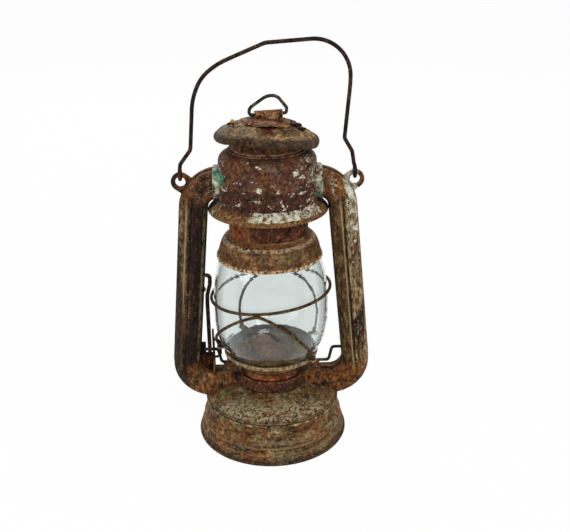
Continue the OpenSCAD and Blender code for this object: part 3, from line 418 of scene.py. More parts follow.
def drum_layers(g):
    """White enamel is left in scattered islands, along the skirt's front and right and by the sockets."""
    socket = box_mm("left_drum_socket")
    socket_edge = (socket[1][0], socket[0][1], socket[1][2] - 5)
    side = g.angle()
    upper = g.z.over(195.7, 197)
    low_skirt = g.z.over(184.2, 182.4) * g.z.over(176.8, 178.2)
    front = side.between(-112, -24, 6)
    wall = g.z.over(box_mm("air_drum")[0][2] - 1, box_mm("air_drum")[0][2])
    scattered = g.noise(6.5, 4, 0.62, 0.2, (0.8, 0.8, 1.35), 90)
    spots = scattered.over(0.585, 0.615) * wall * side.between(-150, -20, 14)
    right = g.x.over(13, 27) * g.z.over(183, 186)
    left = g.x.over(-26, -32)
    back = g.y.over(0, 26)
    amount = spots * 1.5 + low_skirt * front * 1.06 + right * 0.66 + left * 0.66 + back * 0.35 - 0.6
    band = g.z.between(182.2, 195.6, 1.2) * side.between(-158, -22, 12)
    brim = g.z.over(181.6, 179.6)
    fleck = g.noise(2.2, 4, 0.72, 0.2, (1, 1, 1), 56)
    rust = upper * g.noise(10, 4, 0.6, 0.5, (1, 1, 0.7), 57).over(0.44, 0.54)
    dull = upper * g.noise(8, 4, 0.6, 0.5, (1, 1, 0.8), 59).over(0.53, 0.6)
    green = g.near(socket_edge, 3, 3).most(g.near((33, -8, 197), 3, 5) * 0.6)
    green = green * g.noise(3.2, 4, 0.68, 0.4, (1, 1, 0.6), 52).over(0.42, 0.5)
    return [
        (
            band * 0.8,
            g.ramp(fleck, [(0.38, "100605"), (0.48, "321a12"), (0.58, "573223"), (0.72, "8a6650")]),
            0.0, 0.7,
        ),
        (
            rust * 0.6,
            g.ramp(fleck, [(0.36, "26110a"), (0.46, "542e1d"), (0.56, "78472e"), (0.7, "a0734f")]),
            0.0, 0.8,
        ),
        (dull * 0.55, g.ramp(fleck, [(0.36, "2a2118"), (0.5, "665443"), (0.68, "a08c72")]), 0.0, 0.7),
        (
            brim * 0.7,
            g.ramp(fleck, [(0.36, "2e1a0a"), (0.46, "6d4722"), (0.56, "94703f"), (0.7, "c5a574")]),
            0.0, 0.7,
        ),
        (flakes(g, amount, 3.6, 53), cream(g, 54), 0.55, 0.4),
        (green * 0.85, g.ramp(fleck, [(0.38, "1d5a44"), (0.52, "3f9a78"), (0.68, "8cc9ac")]), 0.15, 0.6),
    ]


def socket_layers(g):
    """Brown with whitish and green remains, like the drum's sides."""
    left = g.x.over(1, -1)
    green = (g.near((-33, -8, 200), 4, 5) * left).most((1 - left) * g.z.over(203, 190) * 0.6)
    green = green * g.noise(3.4, 4, 0.68, 0.4, (1, 1, 0.6), 58).over(0.42, 0.52)
    return [
        (flakes(g, 0.32, 4, 68), cream(g, 69), 0.5, 0.45),
        (
            green * 0.75,
            g.ramp(
                g.noise(2, 3, 0.7, 0, (1, 1, 1), 67), [(0.38, "24604a"), (0.52, "58a586"), (0.68, "a5d0b8")]
            ),
            0.1, 0.6,
        ),
    ]


def hood_layers(g):
    """Dark round the rolled rim, green-grey in patches, with one deep rust spot at the front and a painted
    shadow under the cap's front edge.
    """
    light = g.noise(2.4, 4, 0.72, 0.2, (1, 1, 1), 64)
    olive = g.noise(9, 4, 0.6, 0.3, (1, 1, 1), 61).over(0.43, 0.56)
    green = g.noise(4.5, 4, 0.68, 0.3, (1, 1, 1), 62).over(0.55, 0.63) * g.radius().over(18, 26)
    rim = g.radius().over(30.8, 33.2)
    sparks = g.noise(
        1.7, 4, 0.74, 0.2, (1, 1, 1), 65
    ).over(0.56, 0.61) * g.noise(8, 3, 0.6, 0.3, (1, 1, 1), 66).over(0.44, 0.54)
    # Painted shadow: a near-black band on the hood under the lifted front edge of the cap.
    under = g.radius().between(13, 18, 0.8) * g.y.over(-8, -12) * g.z.over(244, 243)
    hood = box_mm("hood")
    slope = (0, hood[0][1] * 0.6, hood[1][2] - 4)
    hole = g.near(slope, 3.5, 4.5) * g.noise(2, 3, 0.7, 0, (1, 1, 1), 63).over(0.36, 0.5)
    return [
        (
            olive * 0.36,
            g.ramp(light, [(0.36, "2c2413"), (0.46, "5f5535"), (0.56, "8d8058"), (0.7, "b8ac80")]),
            0.0, 0.6,
        ),
        (green * 0.42, "727c56", 0.1, 0.55),
        (sparks * 0.8, "c98f56", 0.2, 0.5),
        (
            rim * 0.85,
            g.ramp(light, [(0.38, "0d0805"), (0.5, "2a1b10"), (0.6, "4e3a24"), (0.74, "7e6544")]),
            0.0, 0.7,
        ),
        (under * 0.8, "120a06", 0.0, 0.9),
        (hole * 0.95, "541508", -0.5, 0.9),
    ]


def chimney_layers(g):
    """Redder under the drum at the left, with a tan line where it enters the drum."""
    light = g.noise(2.4, 4, 0.72, 0.2, (1, 1, 0.7), 76)
    streaks = g.noise(9, 4, 0.7, 0.3, (1, 1, 0.4), 71).over(0.5, 0.58)
    orange = g.x.over(-4, -22) * g.z.over(184, 176) * light.over(0.36, 0.5)
    dark = g.z.between(165, 176, 3) * g.noise(10, 4, 0.6, 0.4, (1, 1, 1), 78).over(0.44, 0.54)
    tan = g.z.between(217.4, 219.2, 0.5) * g.noise(6, 3, 0.6, 0, (1, 1, 1), 72).over(0.4, 0.5)
    return [
        (streaks * 0.45, "32170c", 0.1, 0.8),
        (dark * 0.6, g.ramp(light, [(0.38, "140705"), (0.5, "3a1a12"), (0.66, "6d4030")]), 0.0, 0.8),
        (orange * 0.6, g.ramp(light, [(0.36, "4a1f0c"), (0.5, "8c4a20"), (0.68, "ba7c48")]), 0.0, 0.75),
        (tan * 0.7, "a98a62", 0.0, 0.6),
    ]


def dome_layers(g):
    """A painted highlight of pale specks round the step under the neck, and a light rolled lip that is
    partly pale wear and partly a painted highlight.
    """
    light = g.noise(2.2, 4, 0.72, 0.2, (1, 1, 1), 74)
    # Painted highlight: pale specks in a ring round the step under the neck.
    joint = g.radius().between(30.2, 32.4, 0.7) * g.z.over(152, 153) * light.over(0.47, 0.53)
    cove = g.z.over(155.2, 157)
    # The lip's pale band is partly the lip's own worn colour and partly a painted highlight along the
    # rolled bead.
    lip = g.z.over(143.2, 142.3) * g.z.over(139, 140.4)
    under = g.z.between(144.4, 146.6, 0.8) * g.noise(8, 4, 0.6, 0, (1, 1, 1), 73).over(0.4, 0.5)
    olive = g.z.between(146, 152, 2) * g.noise(9, 4, 0.6, 0.5, (1, 1, 1), 75).over(0.44, 0.54)
    return [
        (
            olive * 0.6,
            g.ramp(light, [(0.36, "251b0c"), (0.46, "57452a"), (0.56, "7c6a44"), (0.7, "a89a70")]),
            0.0, 0.6,
        ),
        (cove * 0.7, g.ramp(light, [(0.36, "261008"), (0.5, "5f341b"), (0.68, "98683e")]), 0.0, 0.8),
        (under * 0.5, g.ramp(light, [(0.38, "190c06"), (0.5, "4c2c15"), (0.68, "8a5f38")]), 0.0, 0.8),
        (joint * 0.8, "c8b390", 0.3, 0.5),
        (
            lip * 0.85,
            g.ramp(light, [(0.39, "1c0d06"), (0.45, "80572f"), (0.52, "cfa878"), (0.62, "efdcbc")]),
            0.0, 0.5,
        ),
    ]


def plate_layers(g):
    """Rusted outside the glass and greyer under it, with a pale ring of painted light just inside the
    glass's foot.
    """
    light = g.noise(2.4, 4, 0.7, 0.2, (1, 1, 1), 77)
    outer = g.radius().over(29.6, 31)
    # Painted light: a pale greenish ring on the floor just inside the glass's foot, as if light were
    # refracted by the glass.
    foot = g.radius().between(25.9, 27.6, 0.5) * g.noise(7, 3, 0.6, 0.3, (1, 1, 1), 81).over(0.36, 0.5)
    stain = g.noise(9, 4, 0.66, 0.5, (1, 1, 1), 82).over(0.48, 0.56) * (1 - outer)
    return [
        (stain * 0.7, g.ramp(light, [(0.38, "2a1503"), (0.5, "6b451a"), (0.66, "a67b3e")]), 0.0, 0.7),
        (foot * 0.85, g.ramp(light, [(0.38, "6e6a4e"), (0.5, "a9a585"), (0.66, "d8d4bc")]), 0.1, 0.4),
        (
            outer * 0.95,
            g.ramp(light, [(0.36, "3c2a18"), (0.45, "755c3c"), (0.54, "9a825c"), (0.68, "cbb993")]),
            0.1, 0.55,
        ),
    ]


def copper_layers(g):
    """Painted shade: darker towards the band's top and bottom edges and towards its left and right ends,
    which leaves the middle brightest as a painted highlight; dark stains are mixed in.
    """
    dark = g.noise(3, 4, 0.7, 0.3, (1, 1, 2), 79)
    # Painted shade at the band's top and bottom edges and its left and right ends; the stain below is the
    # band's own.
    upper = g.z.over(54.4, 55.4)
    lower = g.z.over(51.4, 50.6)
    ends = g.x.size().over(9, 21)
    stain = g.noise(6, 4, 0.66, 0.4, (1, 1, 1.6), 80).over(0.46, 0.54)
    edges = (upper * 0.9).most(lower * 0.9).most(ends * 0.85).most(stain * 0.55)
    return [
        (
            edges,
            g.ramp(dark, [(0.38, "150904"), (0.48, "3c1c0e"), (0.58, "6a3a20"), (0.72, "a06a3e")]),
            0.0, 0.62,
        )
    ]


MATERIALS = {
    "tank_rust": lambda: corroded(
        "tank_rust",
        [
            (0.04, "1c0f08"), (0.24, "402714"), (0.44, "604025"), (0.6, "795534"),
            (0.78, "96764f"), (0.94, "c0a880"),
        ],
        "b39c76", "1a0f08", tank_layers, 1, (1, 1, 2.1), blotch=13, wear=0.45, gain=4.0, scaly=0.6,
        other=[(0.05, "1b130a"), (0.28, "403019"), (0.48, "615031"), (0.68, "80704a"), (0.93, "b0a27a")]),
    "tube_rust": lambda: corroded(
        "tube_rust",
        [
            (0.06, "100704"), (0.28, "29160c"), (0.48, "472a18"), (0.66, "664529"),
            (0.84, "8b6c47"), (0.97, "b79f76"),
        ],
        "a8926a", "0c0604", tube_layers, 2, (1, 1, 0.4), blotch=12, wear=0.45, gain=4.6),
    "drum_paint": lambda: corroded(
        "drum_paint",
        [(0.06, "1a0e09"), (0.3, "3a2217"), (0.5, "533424"), (0.7, "6b4530"), (0.88, "866549")],
        "a58f6c", "1c0f09", drum_layers, 3, blotch=11, wear=0.3, gain=4.2),
    "patina": lambda: corroded(
        "patina",
        [(0.08, "1d120b"), (0.3, "43291a"), (0.5, "6a4f38"), (0.68, "90805f"), (0.9, "c0b898")],
        "dcd8c6", "20160e", socket_layers, 4, blotch=7, wear=0.4, gain=4.6),
    "red_rust": lambda: corroded(
        "red_rust",
        [(0.08, "1b0c06"), (0.32, "3b1d0f"), (0.52, "552c18"), (0.72, "703f23"), (0.92, "936543")],
        "9a7650", "180b06", chimney_layers, 5, (1, 1, 0.9), blotch=9, wear=0.3, gain=4.0),
    "dome_rust": lambda: corroded(
        "dome_rust",
        [
            (0.06, "241409"), (0.28, "482b15"), (0.48, "674326"), (0.66, "7f5833"),
            (0.84, "9c784b"), (0.97, "c2a576"),
        ],
        "bca078", "1c1008", dome_layers, 6, (1, 1, 1.5), blotch=14, wear=0.3, gain=4.0, scaly=0.55),
    "hood_rust": lambda: corroded(
        "hood_rust",
        [
            (0.05, "170c06"), (0.26, "3c2411"), (0.44, "633f21"), (0.6, "835d36"),
            (0.78, "ab8450"), (0.94, "d8b987"),
        ],
        "b8a67a", "170e08", hood_layers, 7, blotch=10, wear=0.5, gain=4.8, scaly=0.8),
    "cap_rust": lambda: corroded(
        "cap_rust",
        [(0.06, "1f0f07"), (0.28, "472511"), (0.48, "6c3f23"), (0.68, "8c5d3a"), (0.9, "b88d62")],
        "c8aa7c", "1c0e07", None, 15, blotch=8, wear=0.4, gain=4.8),
    "sleeve_rust": lambda: corroded(
        "sleeve_rust",
        [(0.08, "2c160a"), (0.3, "5f381d"), (0.5, "875732"), (0.7, "ab7f54"), (0.92, "cfab7e")],
        "dcbe94", "1e1008", None, 8, blotch=7, wear=0.5, gain=3.6),
    "dark_wire": lambda: corroded(
        "dark_wire",
        [(0.1, "0a0504"), (0.4, "1b0f0a"), (0.6, "2e1a11"), (0.8, "4a2f1f"), (0.95, "6f5039")],
        "7d5f45", "080403", None, 9, blotch=6, wear=0.3, pits=0.12, metal=0.0),
    "guard_wire": lambda: corroded(
        "guard_wire",
        [(0.1, "140b07"), (0.36, "32200f"), (0.56, "4f3820"), (0.78, "74593a"), (0.95, "a08a64")],
        "ae9a76", "110a06", None, 10, blotch=9, wear=0.25, pits=0.1, metal=0.1, gain=3.4),
    "ring_wire": lambda: corroded(
        "ring_wire",
        [(0.1, "15150f"), (0.4, "2e2e22"), (0.6, "434232"), (0.8, "5f5c44"), (0.95, "857d5e")],
        "908a70", "100f0a", None, 11, blotch=6, wear=0.3, pits=0.1, metal=0.1),
    "copper_band": lambda: corroded(
        "copper_band",
        [(0.08, "3c180b"), (0.32, "6a3019"), (0.52, "904d2c"), (0.74, "bb7b52"), (0.92, "e8bd96")],
        "ecc6a0", "27120a", copper_layers, 12, (
            1, 1, 1.8
        ), blotch=8, wear=0.4, pits=0.12, metal=0.55, gain=2.6,
        gloss=0.36),
    "throat_rust": lambda: corroded(
        "throat_rust",
        [(0.08, "0f0604"), (0.32, "2b130a"), (0.54, "472413"), (0.76, "673c22"), (0.94, "946640")],
        "a07850", "120805", None, 16, blotch=8, wear=0.3, gain=3.0),
    "brass": lambda: corroded(
        "brass",
        [(0.12, "2e2012"), (0.36, "55401f"), (0.54, "75592f"), (0.74, "8f7040"), (0.92, "a88a55")],
        "c0a468", "1d140a", None, 13, blotch=8, wear=0.4, pits=0.1, metal=0.5),
    "cone_dust": lambda: corroded(
        "cone_dust",
        [(0.1, "2f1f18"), (0.36, "563c30"), (0.54, "6e5041"), (0.74, "866654"), (0.92, "a78772")],
        "b7a898", "4a3a2e", None, 17, blotch=8, wear=0.2, pits=0.12, gain=2.4),
    "plate": lambda: corroded(
        "plate",
        [(0.08, "100701"), (0.3, "2c1a09"), (0.5, "4d361b"), (0.7, "6d5431"), (0.92, "a08a5c")],
        "a09676", "1a140c", plate_layers, 14, blotch=11, wear=0.3, pits=0.12, gain=4.0),
    "seam_rust": lambda: corroded(
        "seam_rust",
        [(0.08, "20130a"), (0.28, "4c3520"), (0.48, "775a3a"), (0.7, "a2855c"), (0.92, "cfba92")],
        "c4ae88", "170d06", None, 20, blotch=9, wear=0.5),
    "crust": lambda: corroded(
        "crust",
        [
            (0.1, "050302"), (0.5, "120b07"), (0.9, "3a291c")
        ], "4a3828", "040202", None, 18, blotch=4, wear=0.2, pits=0.5),
    "yellow_flake": lambda: corroded(
        "yellow_flake",
        [
            (0.1, "6e4f1c"), (0.5, "b08a3c"), (0.9, "dcc07a")
        ], "e6d09a", "3a2810", None, 19, blotch=3, wear=0.4),
}


def glass_material():
    """Clear glass with a thin grey film, fine bubbles and slow waves."""
    g = Graph("globe_glass")
    film = g.noise(30, 3, 0.6, 0.2, (1, 1, 0.6), 81)
    specks = g.cells(7, "F1", (1, 1, 1), 82).over(0.06, 0.035)
    waves = g.noise(26, 2, 0.5, 0.4, (1, 1, 1.6), 83)
    rough = film.over(0.45, 0.75) * 0.01 + specks * 0.2
    shader = g.node("ShaderNodeBsdfPrincipled")
    g.put(shader.inputs["Base Color"], g.mix(specks * 0.5, "e7ecea", "a9aca2"))
    g.put(shader.inputs["Roughness"], rough)
    shader.inputs["Transmission Weight"].default_value = 1.0
    shader.inputs["IOR"].default_value = 1.46
    shader.inputs["Specular IOR Level"].default_value = 0.22
    g.put(shader.inputs["Normal"], g.bump(waves, 0.35))
    clear = g.node("ShaderNodeBsdfTransparent")
    g.put(clear.inputs["Color"], "e7ecea")
    both = g.node("ShaderNodeMixShader")
    g.put(both.inputs[0], g.node("ShaderNodeLightPath").outputs["Is Shadow Ray"])
    g.tree.links.new(shader.outputs[0], both.inputs[1])
    g.tree.links.new(clear.outputs[0], both.inputs[2])
    out = g.node("ShaderNodeOutputMaterial")
    g.tree.links.new(both.outputs[0], out.inputs["Surface"])
    return g.material


def cotton_material():
    g = Graph("cotton")
    weave = g.node("ShaderNodeTexWave", wave_type="BANDS", bands_direction="Z")
    g.put(weave.inputs["Vector"], g.place)
    weave.inputs["Scale"].default_value = 0.45
    weave.inputs["Distortion"].default_value = 0.6
    thread = Value(g, weave.outputs["Fac"])
    stain = g.noise(5, 4, 0.6, 0.0, (1, 1, 1), 91)
    burnt = g.z.over(66, 70)
    colour = g.ramp(stain * 0.7 + thread * 0.3, [(0.3, "7d6f54"), (0.5, "b8ab8c"), (0.75, "d6ccb0")])
    colour = g.mix(burnt, colour, "17120e")
    return g.finish(colour, 0.9, g.bump(thread, 0.15))


def rubber_material():
    g = Graph("gasket_rubber")
    dust = g.noise(2.5, 4, 0.65, 0.0, (1, 1, 1), 95)
    return g.finish(g.ramp(dust, [(0.35, "17150f"), (0.7, "38332a")]), dust * 0.3 + 0.5, g.bump(dust, 0.08))


MATERIALS.update(clear_glass=glass_material, cotton=cotton_material, rubber=rubber_material)
FINISH_OF = {
    "tank_rust": "tank_pan tank_floor tank_top filler_neck filler_cap",
    "tube_rust": "left_tube_front left_tube_rear right_tube_front right_tube_rear left_ear right_ear "
    "lift_bracket bracket_rivets left_tank_socket right_tank_socket",
    "drum_paint": "air_drum drum_skirt",
    "patina": "left_drum_socket right_drum_socket",
    "red_rust": "chimney_tube spring_seat drum_collar hood_struts",
    "dome_rust": "chimney_dome globe_seat guard_tabs plate_lugs",
    "hood_rust": "hood",
    "cap_rust": "top_cap",
    "sleeve_rust": "ring_sleeve",
    "dark_wire": "bail bracket_loop lever_stud lift_lever left_crank right_crank chimney_spring",
    "guard_wire": "guard_ring guard_feet guard_front_arch guard_rear_arch wick_knob wick_spindle",
    "ring_wire": "carry_ring",
    "copper_band": "burner_band",
    "throat_rust": "burner_throat",
    "brass": "burner_collar burner_body wick_tube burner_deck wick_wheels",
    "cone_dust": "burner_cone",
    "plate": "globe_plate",
    "clear_glass": "globe_glass",
    "cotton": "wick",
    "rubber": "filler_gasket",
    "crust": "",
    "yellow_flake": "",
    "seam_rust": "",
}
made = {name: MATERIALS[name]() for name in FINISH_OF}
for name, nodes in FINISH_OF.items():
    for node in nodes.split():
        for slot in bpy.data.objects[node].material_slots:
            slot.material = made[name]


# ---- Pieces added to the CAD ----


def add_piece(name, points, faces, body, finish, replaced=(), sharp=38):
    """A closed mesh from points in millimetres, shaded smooth across all but its sharp edges."""
    mesh = bpy.data.meshes.new(name)
    mesh.from_pydata([[c * MM for c in p] for p in points], [], faces)
    build = bmesh.new()
    build.from_mesh(mesh)
    bmesh.ops.recalc_face_normals(build, faces=build.faces)
    build.to_mesh(mesh)
    build.free()
    mesh.shade_smooth()
    mesh.set_sharp_from_angle(angle=math.radians(sharp))
    mesh.materials.append(made[finish])
    piece = bpy.data.objects.new(name, mesh)
    bpy.context.scene.collection.objects.link(piece)
    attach(piece, body)
    if replaced:
        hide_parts(*replaced)
    return piece


def turned(profile, steps, shape=None, start=0.0, end=360.0):
    """A closed profile of (r, z) turned round the z axis. shape moves each point; an arc gets end faces."""
    whole = end - start >= 360
    stations = steps if whole else steps + 1
    points, faces, count = [], [], len(profile)
    for i in range(stations):
        a = math.radians(start + (end - start) * i / steps)
        for r, z in profile:
            p = (r * math.cos(a), r * math.sin(a), z)
            points.append(shape(*p) if shape else p)
    for i in range(steps):
        j = (i + 1) % stations
        for k in range(count):
            m = (k + 1) % count
            faces.append((i * count + k, j * count + k, j * count + m, i * count + m))
    if not whole:
        faces.append(tuple(range(count)))
        faces.append(tuple(reversed(range(steps * count, stations * count))))
    return points, faces


def wire(path, radius, sides=12):
    """A round wire along a list of points, with flat ends."""
    path = [Vector(p) for p in path]
    upright = abs((path[1] - path[0]).normalized().z) > 0.9
    points, faces, across = [], [], Vector((0, 1, 0)) if upright else Vector((0, 0, 1))
    for i, p in enumerate(path):
        along = (path[min(i + 1, len(path) - 1)] - path[max(i - 1, 0)]).normalized()
        across = (across - along * across.dot(along)).normalized()
        other = along.cross(across)
        for k in range(sides):
            a = 2 * math.pi * k / sides
            points.append(p + across * radius * math.cos(a) + other * radius * math.sin(a))
    for i in range(len(path) - 1):
        for k in range(sides):
            m = (k + 1) % sides
            faces.append((i * sides + k, i * sides + m, (i + 1) * sides + m, (i + 1) * sides + k))
    faces.append(tuple(reversed(range(sides))))
    faces.append(tuple(range((len(path) - 1) * sides, len(path) * sides)))
    return points, faces


def guard_arches():
    """The two wire arches of the guard, each one smooth wire from one foot over its top to the other."""
    ring_low, ring_high = box_mm("guard_ring")
    wire_r, shift = 1.1, 0.5
    ring_r = (ring_high[1] - ring_low[1]) / 2 - wire_r
    ring_z = (ring_low[2] + ring_high[2]) / 2
    lean_x, lean_y = math.tan(math.radians(5.5)), math.tan(math.radians(1.8))
    foot_r, foot_z, rise = 38.4, box_mm("guard_tabs")[1][2] + 1, 22

    def arch(feet, top, power, even):
        path = []
        for i in range(-40, 41):
            t = math.sin(math.pi / 2 * i / 40) if even else i / 40
            angle = math.radians(top + t * ((top - feet[0]) if t < 0 else (feet[1] - top)))
            lean = math.cos(math.radians(top)) * lean_x - math.sin(math.radians(top)) * lean_y
            high = ring_z + ring_r * lean - 2 * wire_r
            z = foot_z + (high - foot_z) * (1 - abs(t) ** power) ** (1 / (power if power > 2 else 1))
            r = foot_r + (ring_r - foot_r) * math.sin(math.pi / 2 * min(1, (z - foot_z) / rise))
            path.append((shift + r * math.cos(angle), r * math.sin(angle), z))
        return path

    front = arch((-178, -40), -102, 1.45, False)
    rear = arch((128, 28), 80, 2.4, True)
    add_piece("front_arch", *wire(front, wire_r), "globe_carriage", "guard_wire", ("guard_front_arch",))
    add_piece("rear_arch", *wire(rear, wire_r), "globe_carriage", "guard_wire", ("guard_rear_arch",))


def lever_bar():
    """The lift lever as one round bar, hooked over towards the tube at its top."""
    low, high = box_mm("lift_lever")
    x, foot, top = -45.3, 65.8, high[2] - 1.3
    path = [(x, 0, foot - 1.5), (x, 0, foot + 20), (x - 0.05, 0, foot + 38), (x + 0.2, 0, foot + 44)]
    path += [(x + 1.2, 0, foot + 48), (x + 2.3, 0, foot + 52), (x + 2.6, 0, top - 2.6)]
    bend, bar_r = 2.5, 1.45
    for degrees in (15, 35, 55, 75, 90):
        a = math.radians(degrees)
        path.append((x + 0.1 + bend * math.cos(a), 0, top - bend + bend * math.sin(a)))
    path.append((low[0] + 0.6, 0, top))
    points, faces = wire(path, bar_r, 14)
    add_piece("lever_bar", points, faces, "lift_lever", "dark_wire")


def globe_dish():
    """The plate under the globe: a flat floor, a groove round the glass and a rolled rim with a skirt."""
    low, high = box_mm("globe_plate")
    z, top, r = low[2], high[2], high[1]
    hole = 15.2
    over = [
        (hole, z + 0.9), (28.8, z + 0.8), (30.2, z + 1.0), (31.6, z + 2.0), (32.6, z + 3.6), (33.4, z + 4.6)
    ]
    roll = [(34.0, top), (34.4, top - 0.3), (r, top - 1.0), (r - 0.1, z + 2.2), (r - 0.5, z + 1.6)]
    under = [(33.6, z + 1.6), (33.2, z + 3.0), (31.4, z + 1.0), (30.0, z), (hole, z)]
    return over + roll + under


DRUM_TOP = box_mm("air_drum")[1][2]


HOOD_SLOPE = math.tan(math.radians(24))
HOOD_RIM_R = 32.9
HOOD_PLATE = 3.1  # from the rim's middle up to the plate


def bent_up(x, y, z):
    """The hood's own tilt, and the way its front and its rim have been bent."""
    tilt, base = math.radians(4.7), DRUM_TOP + 8.9
    r = math.hypot(x, y)
    front = max(0.0, (-y / 35.5 - 0.28) / 0.72)
    z += 4.6 * front**1.5
    place = Vector((x, y, z))
    z += (
        noise.noise(place / 13 + Vector((3, 1, 7))) * 0.9 + noise.noise(place / 5.5) * 0.35
    ) * min(1, r / 14)
    grow = 1 + noise.noise(Vector((x, y, 0)) / 11 + Vector((9, 2, 4))) * 0.012
    x, y = x * grow, y * grow
    return x * math.cos(tilt) + z * math.sin(tilt), y, base + z * math.cos(tilt) - x * math.sin(tilt)


def dented_hood():
    """The hood: a sloped plate that swells a little, and a rolled rim."""
    slope, rim_r, rim, middle_r = HOOD_SLOPE, HOOD_RIM_R, 2.5, 12.0
    outside = [(middle_r, HOOD_PLATE + (rim_r - middle_r) * slope)]
    for r in range(14, 32, 2):
        swell = 0.5 * math.sin(math.pi * (r - middle_r) / 21)
        outside.append((r, HOOD_PLATE + (rim_r - r) * slope + swell))
    outside += [(rim_r - 0.9, 3.4)]
    for a in range(75, -121, -15):
        outside.append((rim_r + rim * math.cos(math.radians(a)), rim * math.sin(math.radians(a))))
    inside = [(rim_r - 2.2, -1.3), (rim_r - 1.4, 0.6), (rim_r - 2, 2.3)]
    inside += [(r, 2.4 + (rim_r - r) * slope) for r in range(29, 12, -4)]
    inside += [(middle_r, 2.4 + (rim_r - middle_r) * slope)]
    add_piece("dented_hood", *turned(outside + inside, 144, bent_up), "chimney", "hood_rust", ("hood",))


def lifted_cap():
    """The cap plate on the hood, whose edge has come up in waves."""

    def waved(x, y, z):
        r, a = math.hypot(x, y), math.atan2(y, x)
        edge = max(0.0, (r - 11.5) / 6) ** 1.5
        wave = 0.4 + 0.55 * math.cos(a + 1.7) + 0.22 * math.sin(4 * a + 0.5) + 0.15 * math.sin(7 * a)
        out = 1 + (0.05 * math.sin(3 * a + 0.5) + 0.03 * math.sin(7 * a)) * edge
        return bent_up(x * out, y * out, z + edge * max(0.0, wave) * 1.5)

    top = HOOD_PLATE + (HOOD_RIM_R - 12.5) * HOOD_SLOPE + 0.8
    over = [
        (0.05, top), (6, top), (10, top), (12, top - 0.15), (13.4, top - 0.6),
        (15, top - 1.25), (16.6, top - 2.0),
    ]
    edge = [(17.7, top - 2.6), (18.1, top - 3.0), (18.1, top - 3.5), (17.7, top - 3.6)]
    under = [(16.4, top - 3.0), (13.4, top - 1.6), (12, top - 1.0), (10, top - 0.8), (0.05, top - 0.8)]
    add_piece(
        "lifted_cap", *turned(over + edge + under, 144, waved), "chimney", "cap_rust", ("top_cap",), 50
    )


def dome_shell():
    """The dome over the globe: a cove from the neck, a step, a full curve and a rolled lip."""
    cove = [(27.6, 158.9), (27.85, 157.6), (28.5, 156.5), (29.6, 155.7), (30.8, 155.3)]
    curve = [(31.8, 154.8), (32.6, 153.8), (33.8, 151.6), (34.8, 148.8), (35.6, 145.8), (36.1, 143.4)]
    lip = [(36.6, 142.6), (37.1, 142.1), (37.3, 141.5), (37.1, 140.9), (36.5, 140.65), (36.0, 141.0)]
    inside = [
        (35.5, 142.6), (35.0, 145.4), (34.2, 148.4), (33.2, 151.2),
        (31.9, 153.6), (30.4, 154.5), (27.6, 154.8),
    ]

    def worn(x, y, z):
        dent = noise.noise(Vector((x, y, z)) / 12 + Vector((5, 8, 2))) * 0.014
        return x * (1 + dent) + 0.3, y * (1 + dent), z

    add_piece(
        "dome_shell", *turned(cove + curve + lip + inside, 160, worn),
        "chimney", "dome_rust", ("chimney_dome",), 50,
    )


def lump(name, centre, size, finish, seed):
    """A small ragged crust, wider than it is tall."""
    build = bmesh.new()
    bmesh.ops.create_icosphere(build, subdivisions=3, radius=1)
    points = []
    for v in build.verts:
        swell = 1 + noise.noise(v.co * 1.6 + Vector((seed, 0, 0))) * 0.55
        swell += noise.noise(v.co * 4 + Vector((0, seed, 0))) * 0.2
        points.append([centre[i] + v.co[i] * size[i] * swell for i in range(3)])
    faces = [tuple(v.index for v in f.verts) for f in build.faces]
    build.free()
    add_piece(name, points, faces, "chimney", finish, sharp=60)


def crusts():
    """Lumps of scale and one yellow flake left on the hood."""
    lump("hood_crust_1", (19.6, -3, 233.4), (3.4, 2.4, 1.3), "crust", 1)
    lump("hood_crust_2", (23.2, -5, 231.2), (2.8, 2.2, 1.0), "crust", 2)
    lump("hood_crust_3", (16.4, -5.5, 234.6), (1.6, 1.4, 0.9), "crust", 3)
    lump("hood_flake", (-22.4, -4, 236.2), (1.7, 0.9, 1.5), "yellow_flake", 4)
    lump("hood_crust_4", (-24.5, -5, 235.4), (1.6, 1.3, 0.7), "crust", 5)


def throat_flare():
    """The rolled foot of the burner's throat, left open where the side tubes come through."""
    z = box_mm("burner_throat")[0][2]
    over = [
        (24.5, z + 5.4), (25.0, z + 4.4), (25.9, z + 3.0), (27.0, z + 1.6), (27.6, z + 0.7), (27.7, z + 0.1)
    ]
    under = [(24.5, z + 0.1)]
    for side, start in (("front", 206), ("rear", 26)):
        points, faces = turned(over + under, 60, None, start, start + 128)
        add_piece("throat_flare_" + side, points, faces, "lantern_frame", "throat_rust")


def neck_spring():
    """The spring round the chimney, made as a fixed coil on the lantern's frame, though the real spring
    shortens as the chimney is pulled up into the drum.
    """
    low, high = box_mm("chimney_spring")
    wire_r, turns, lift = 0.6, 3, 12
    coil_r = high[0] - wire_r
    z0, z1 = low[2] + wire_r, high[2] - wire_r
    path = []
    for i in range(40 * turns + 1):
        a = 2 * math.pi * i / 40
        path.append((coil_r * math.cos(a), coil_r * math.sin(a), z0 + (z1 - z0) * i / (40 * turns)))
    spring = add_piece(
        "neck_spring", *wire(path, wire_r, 8), "lantern_frame", "dark_wire", ("chimney_spring",)
    )
    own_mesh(spring)


def seam_bead():
    """The rolled bead of the pan just under the tank's seam."""
    r, z = box_mm("tank_top")[1][0] - 0.35, 28.3
    ring = [
        (r + 0.95 * math.cos(a), z + 0.95 * math.sin(a)) for a in (2 * math.pi * k / 10 for k in range(10))
    ]
    add_piece("seam_bead", *turned(ring, 160), "lantern_frame", "seam_rust")


guard_arches()
add_piece("globe_dish", *turned(globe_dish(), 128), "globe_carriage", "plate", ("globe_plate",))
lever_bar()
dented_hood()
lifted_cap()
dome_shell()
crusts()
throat_flare()
neck_spring()
seam_bead()


# ---- Stage, light and camera ----


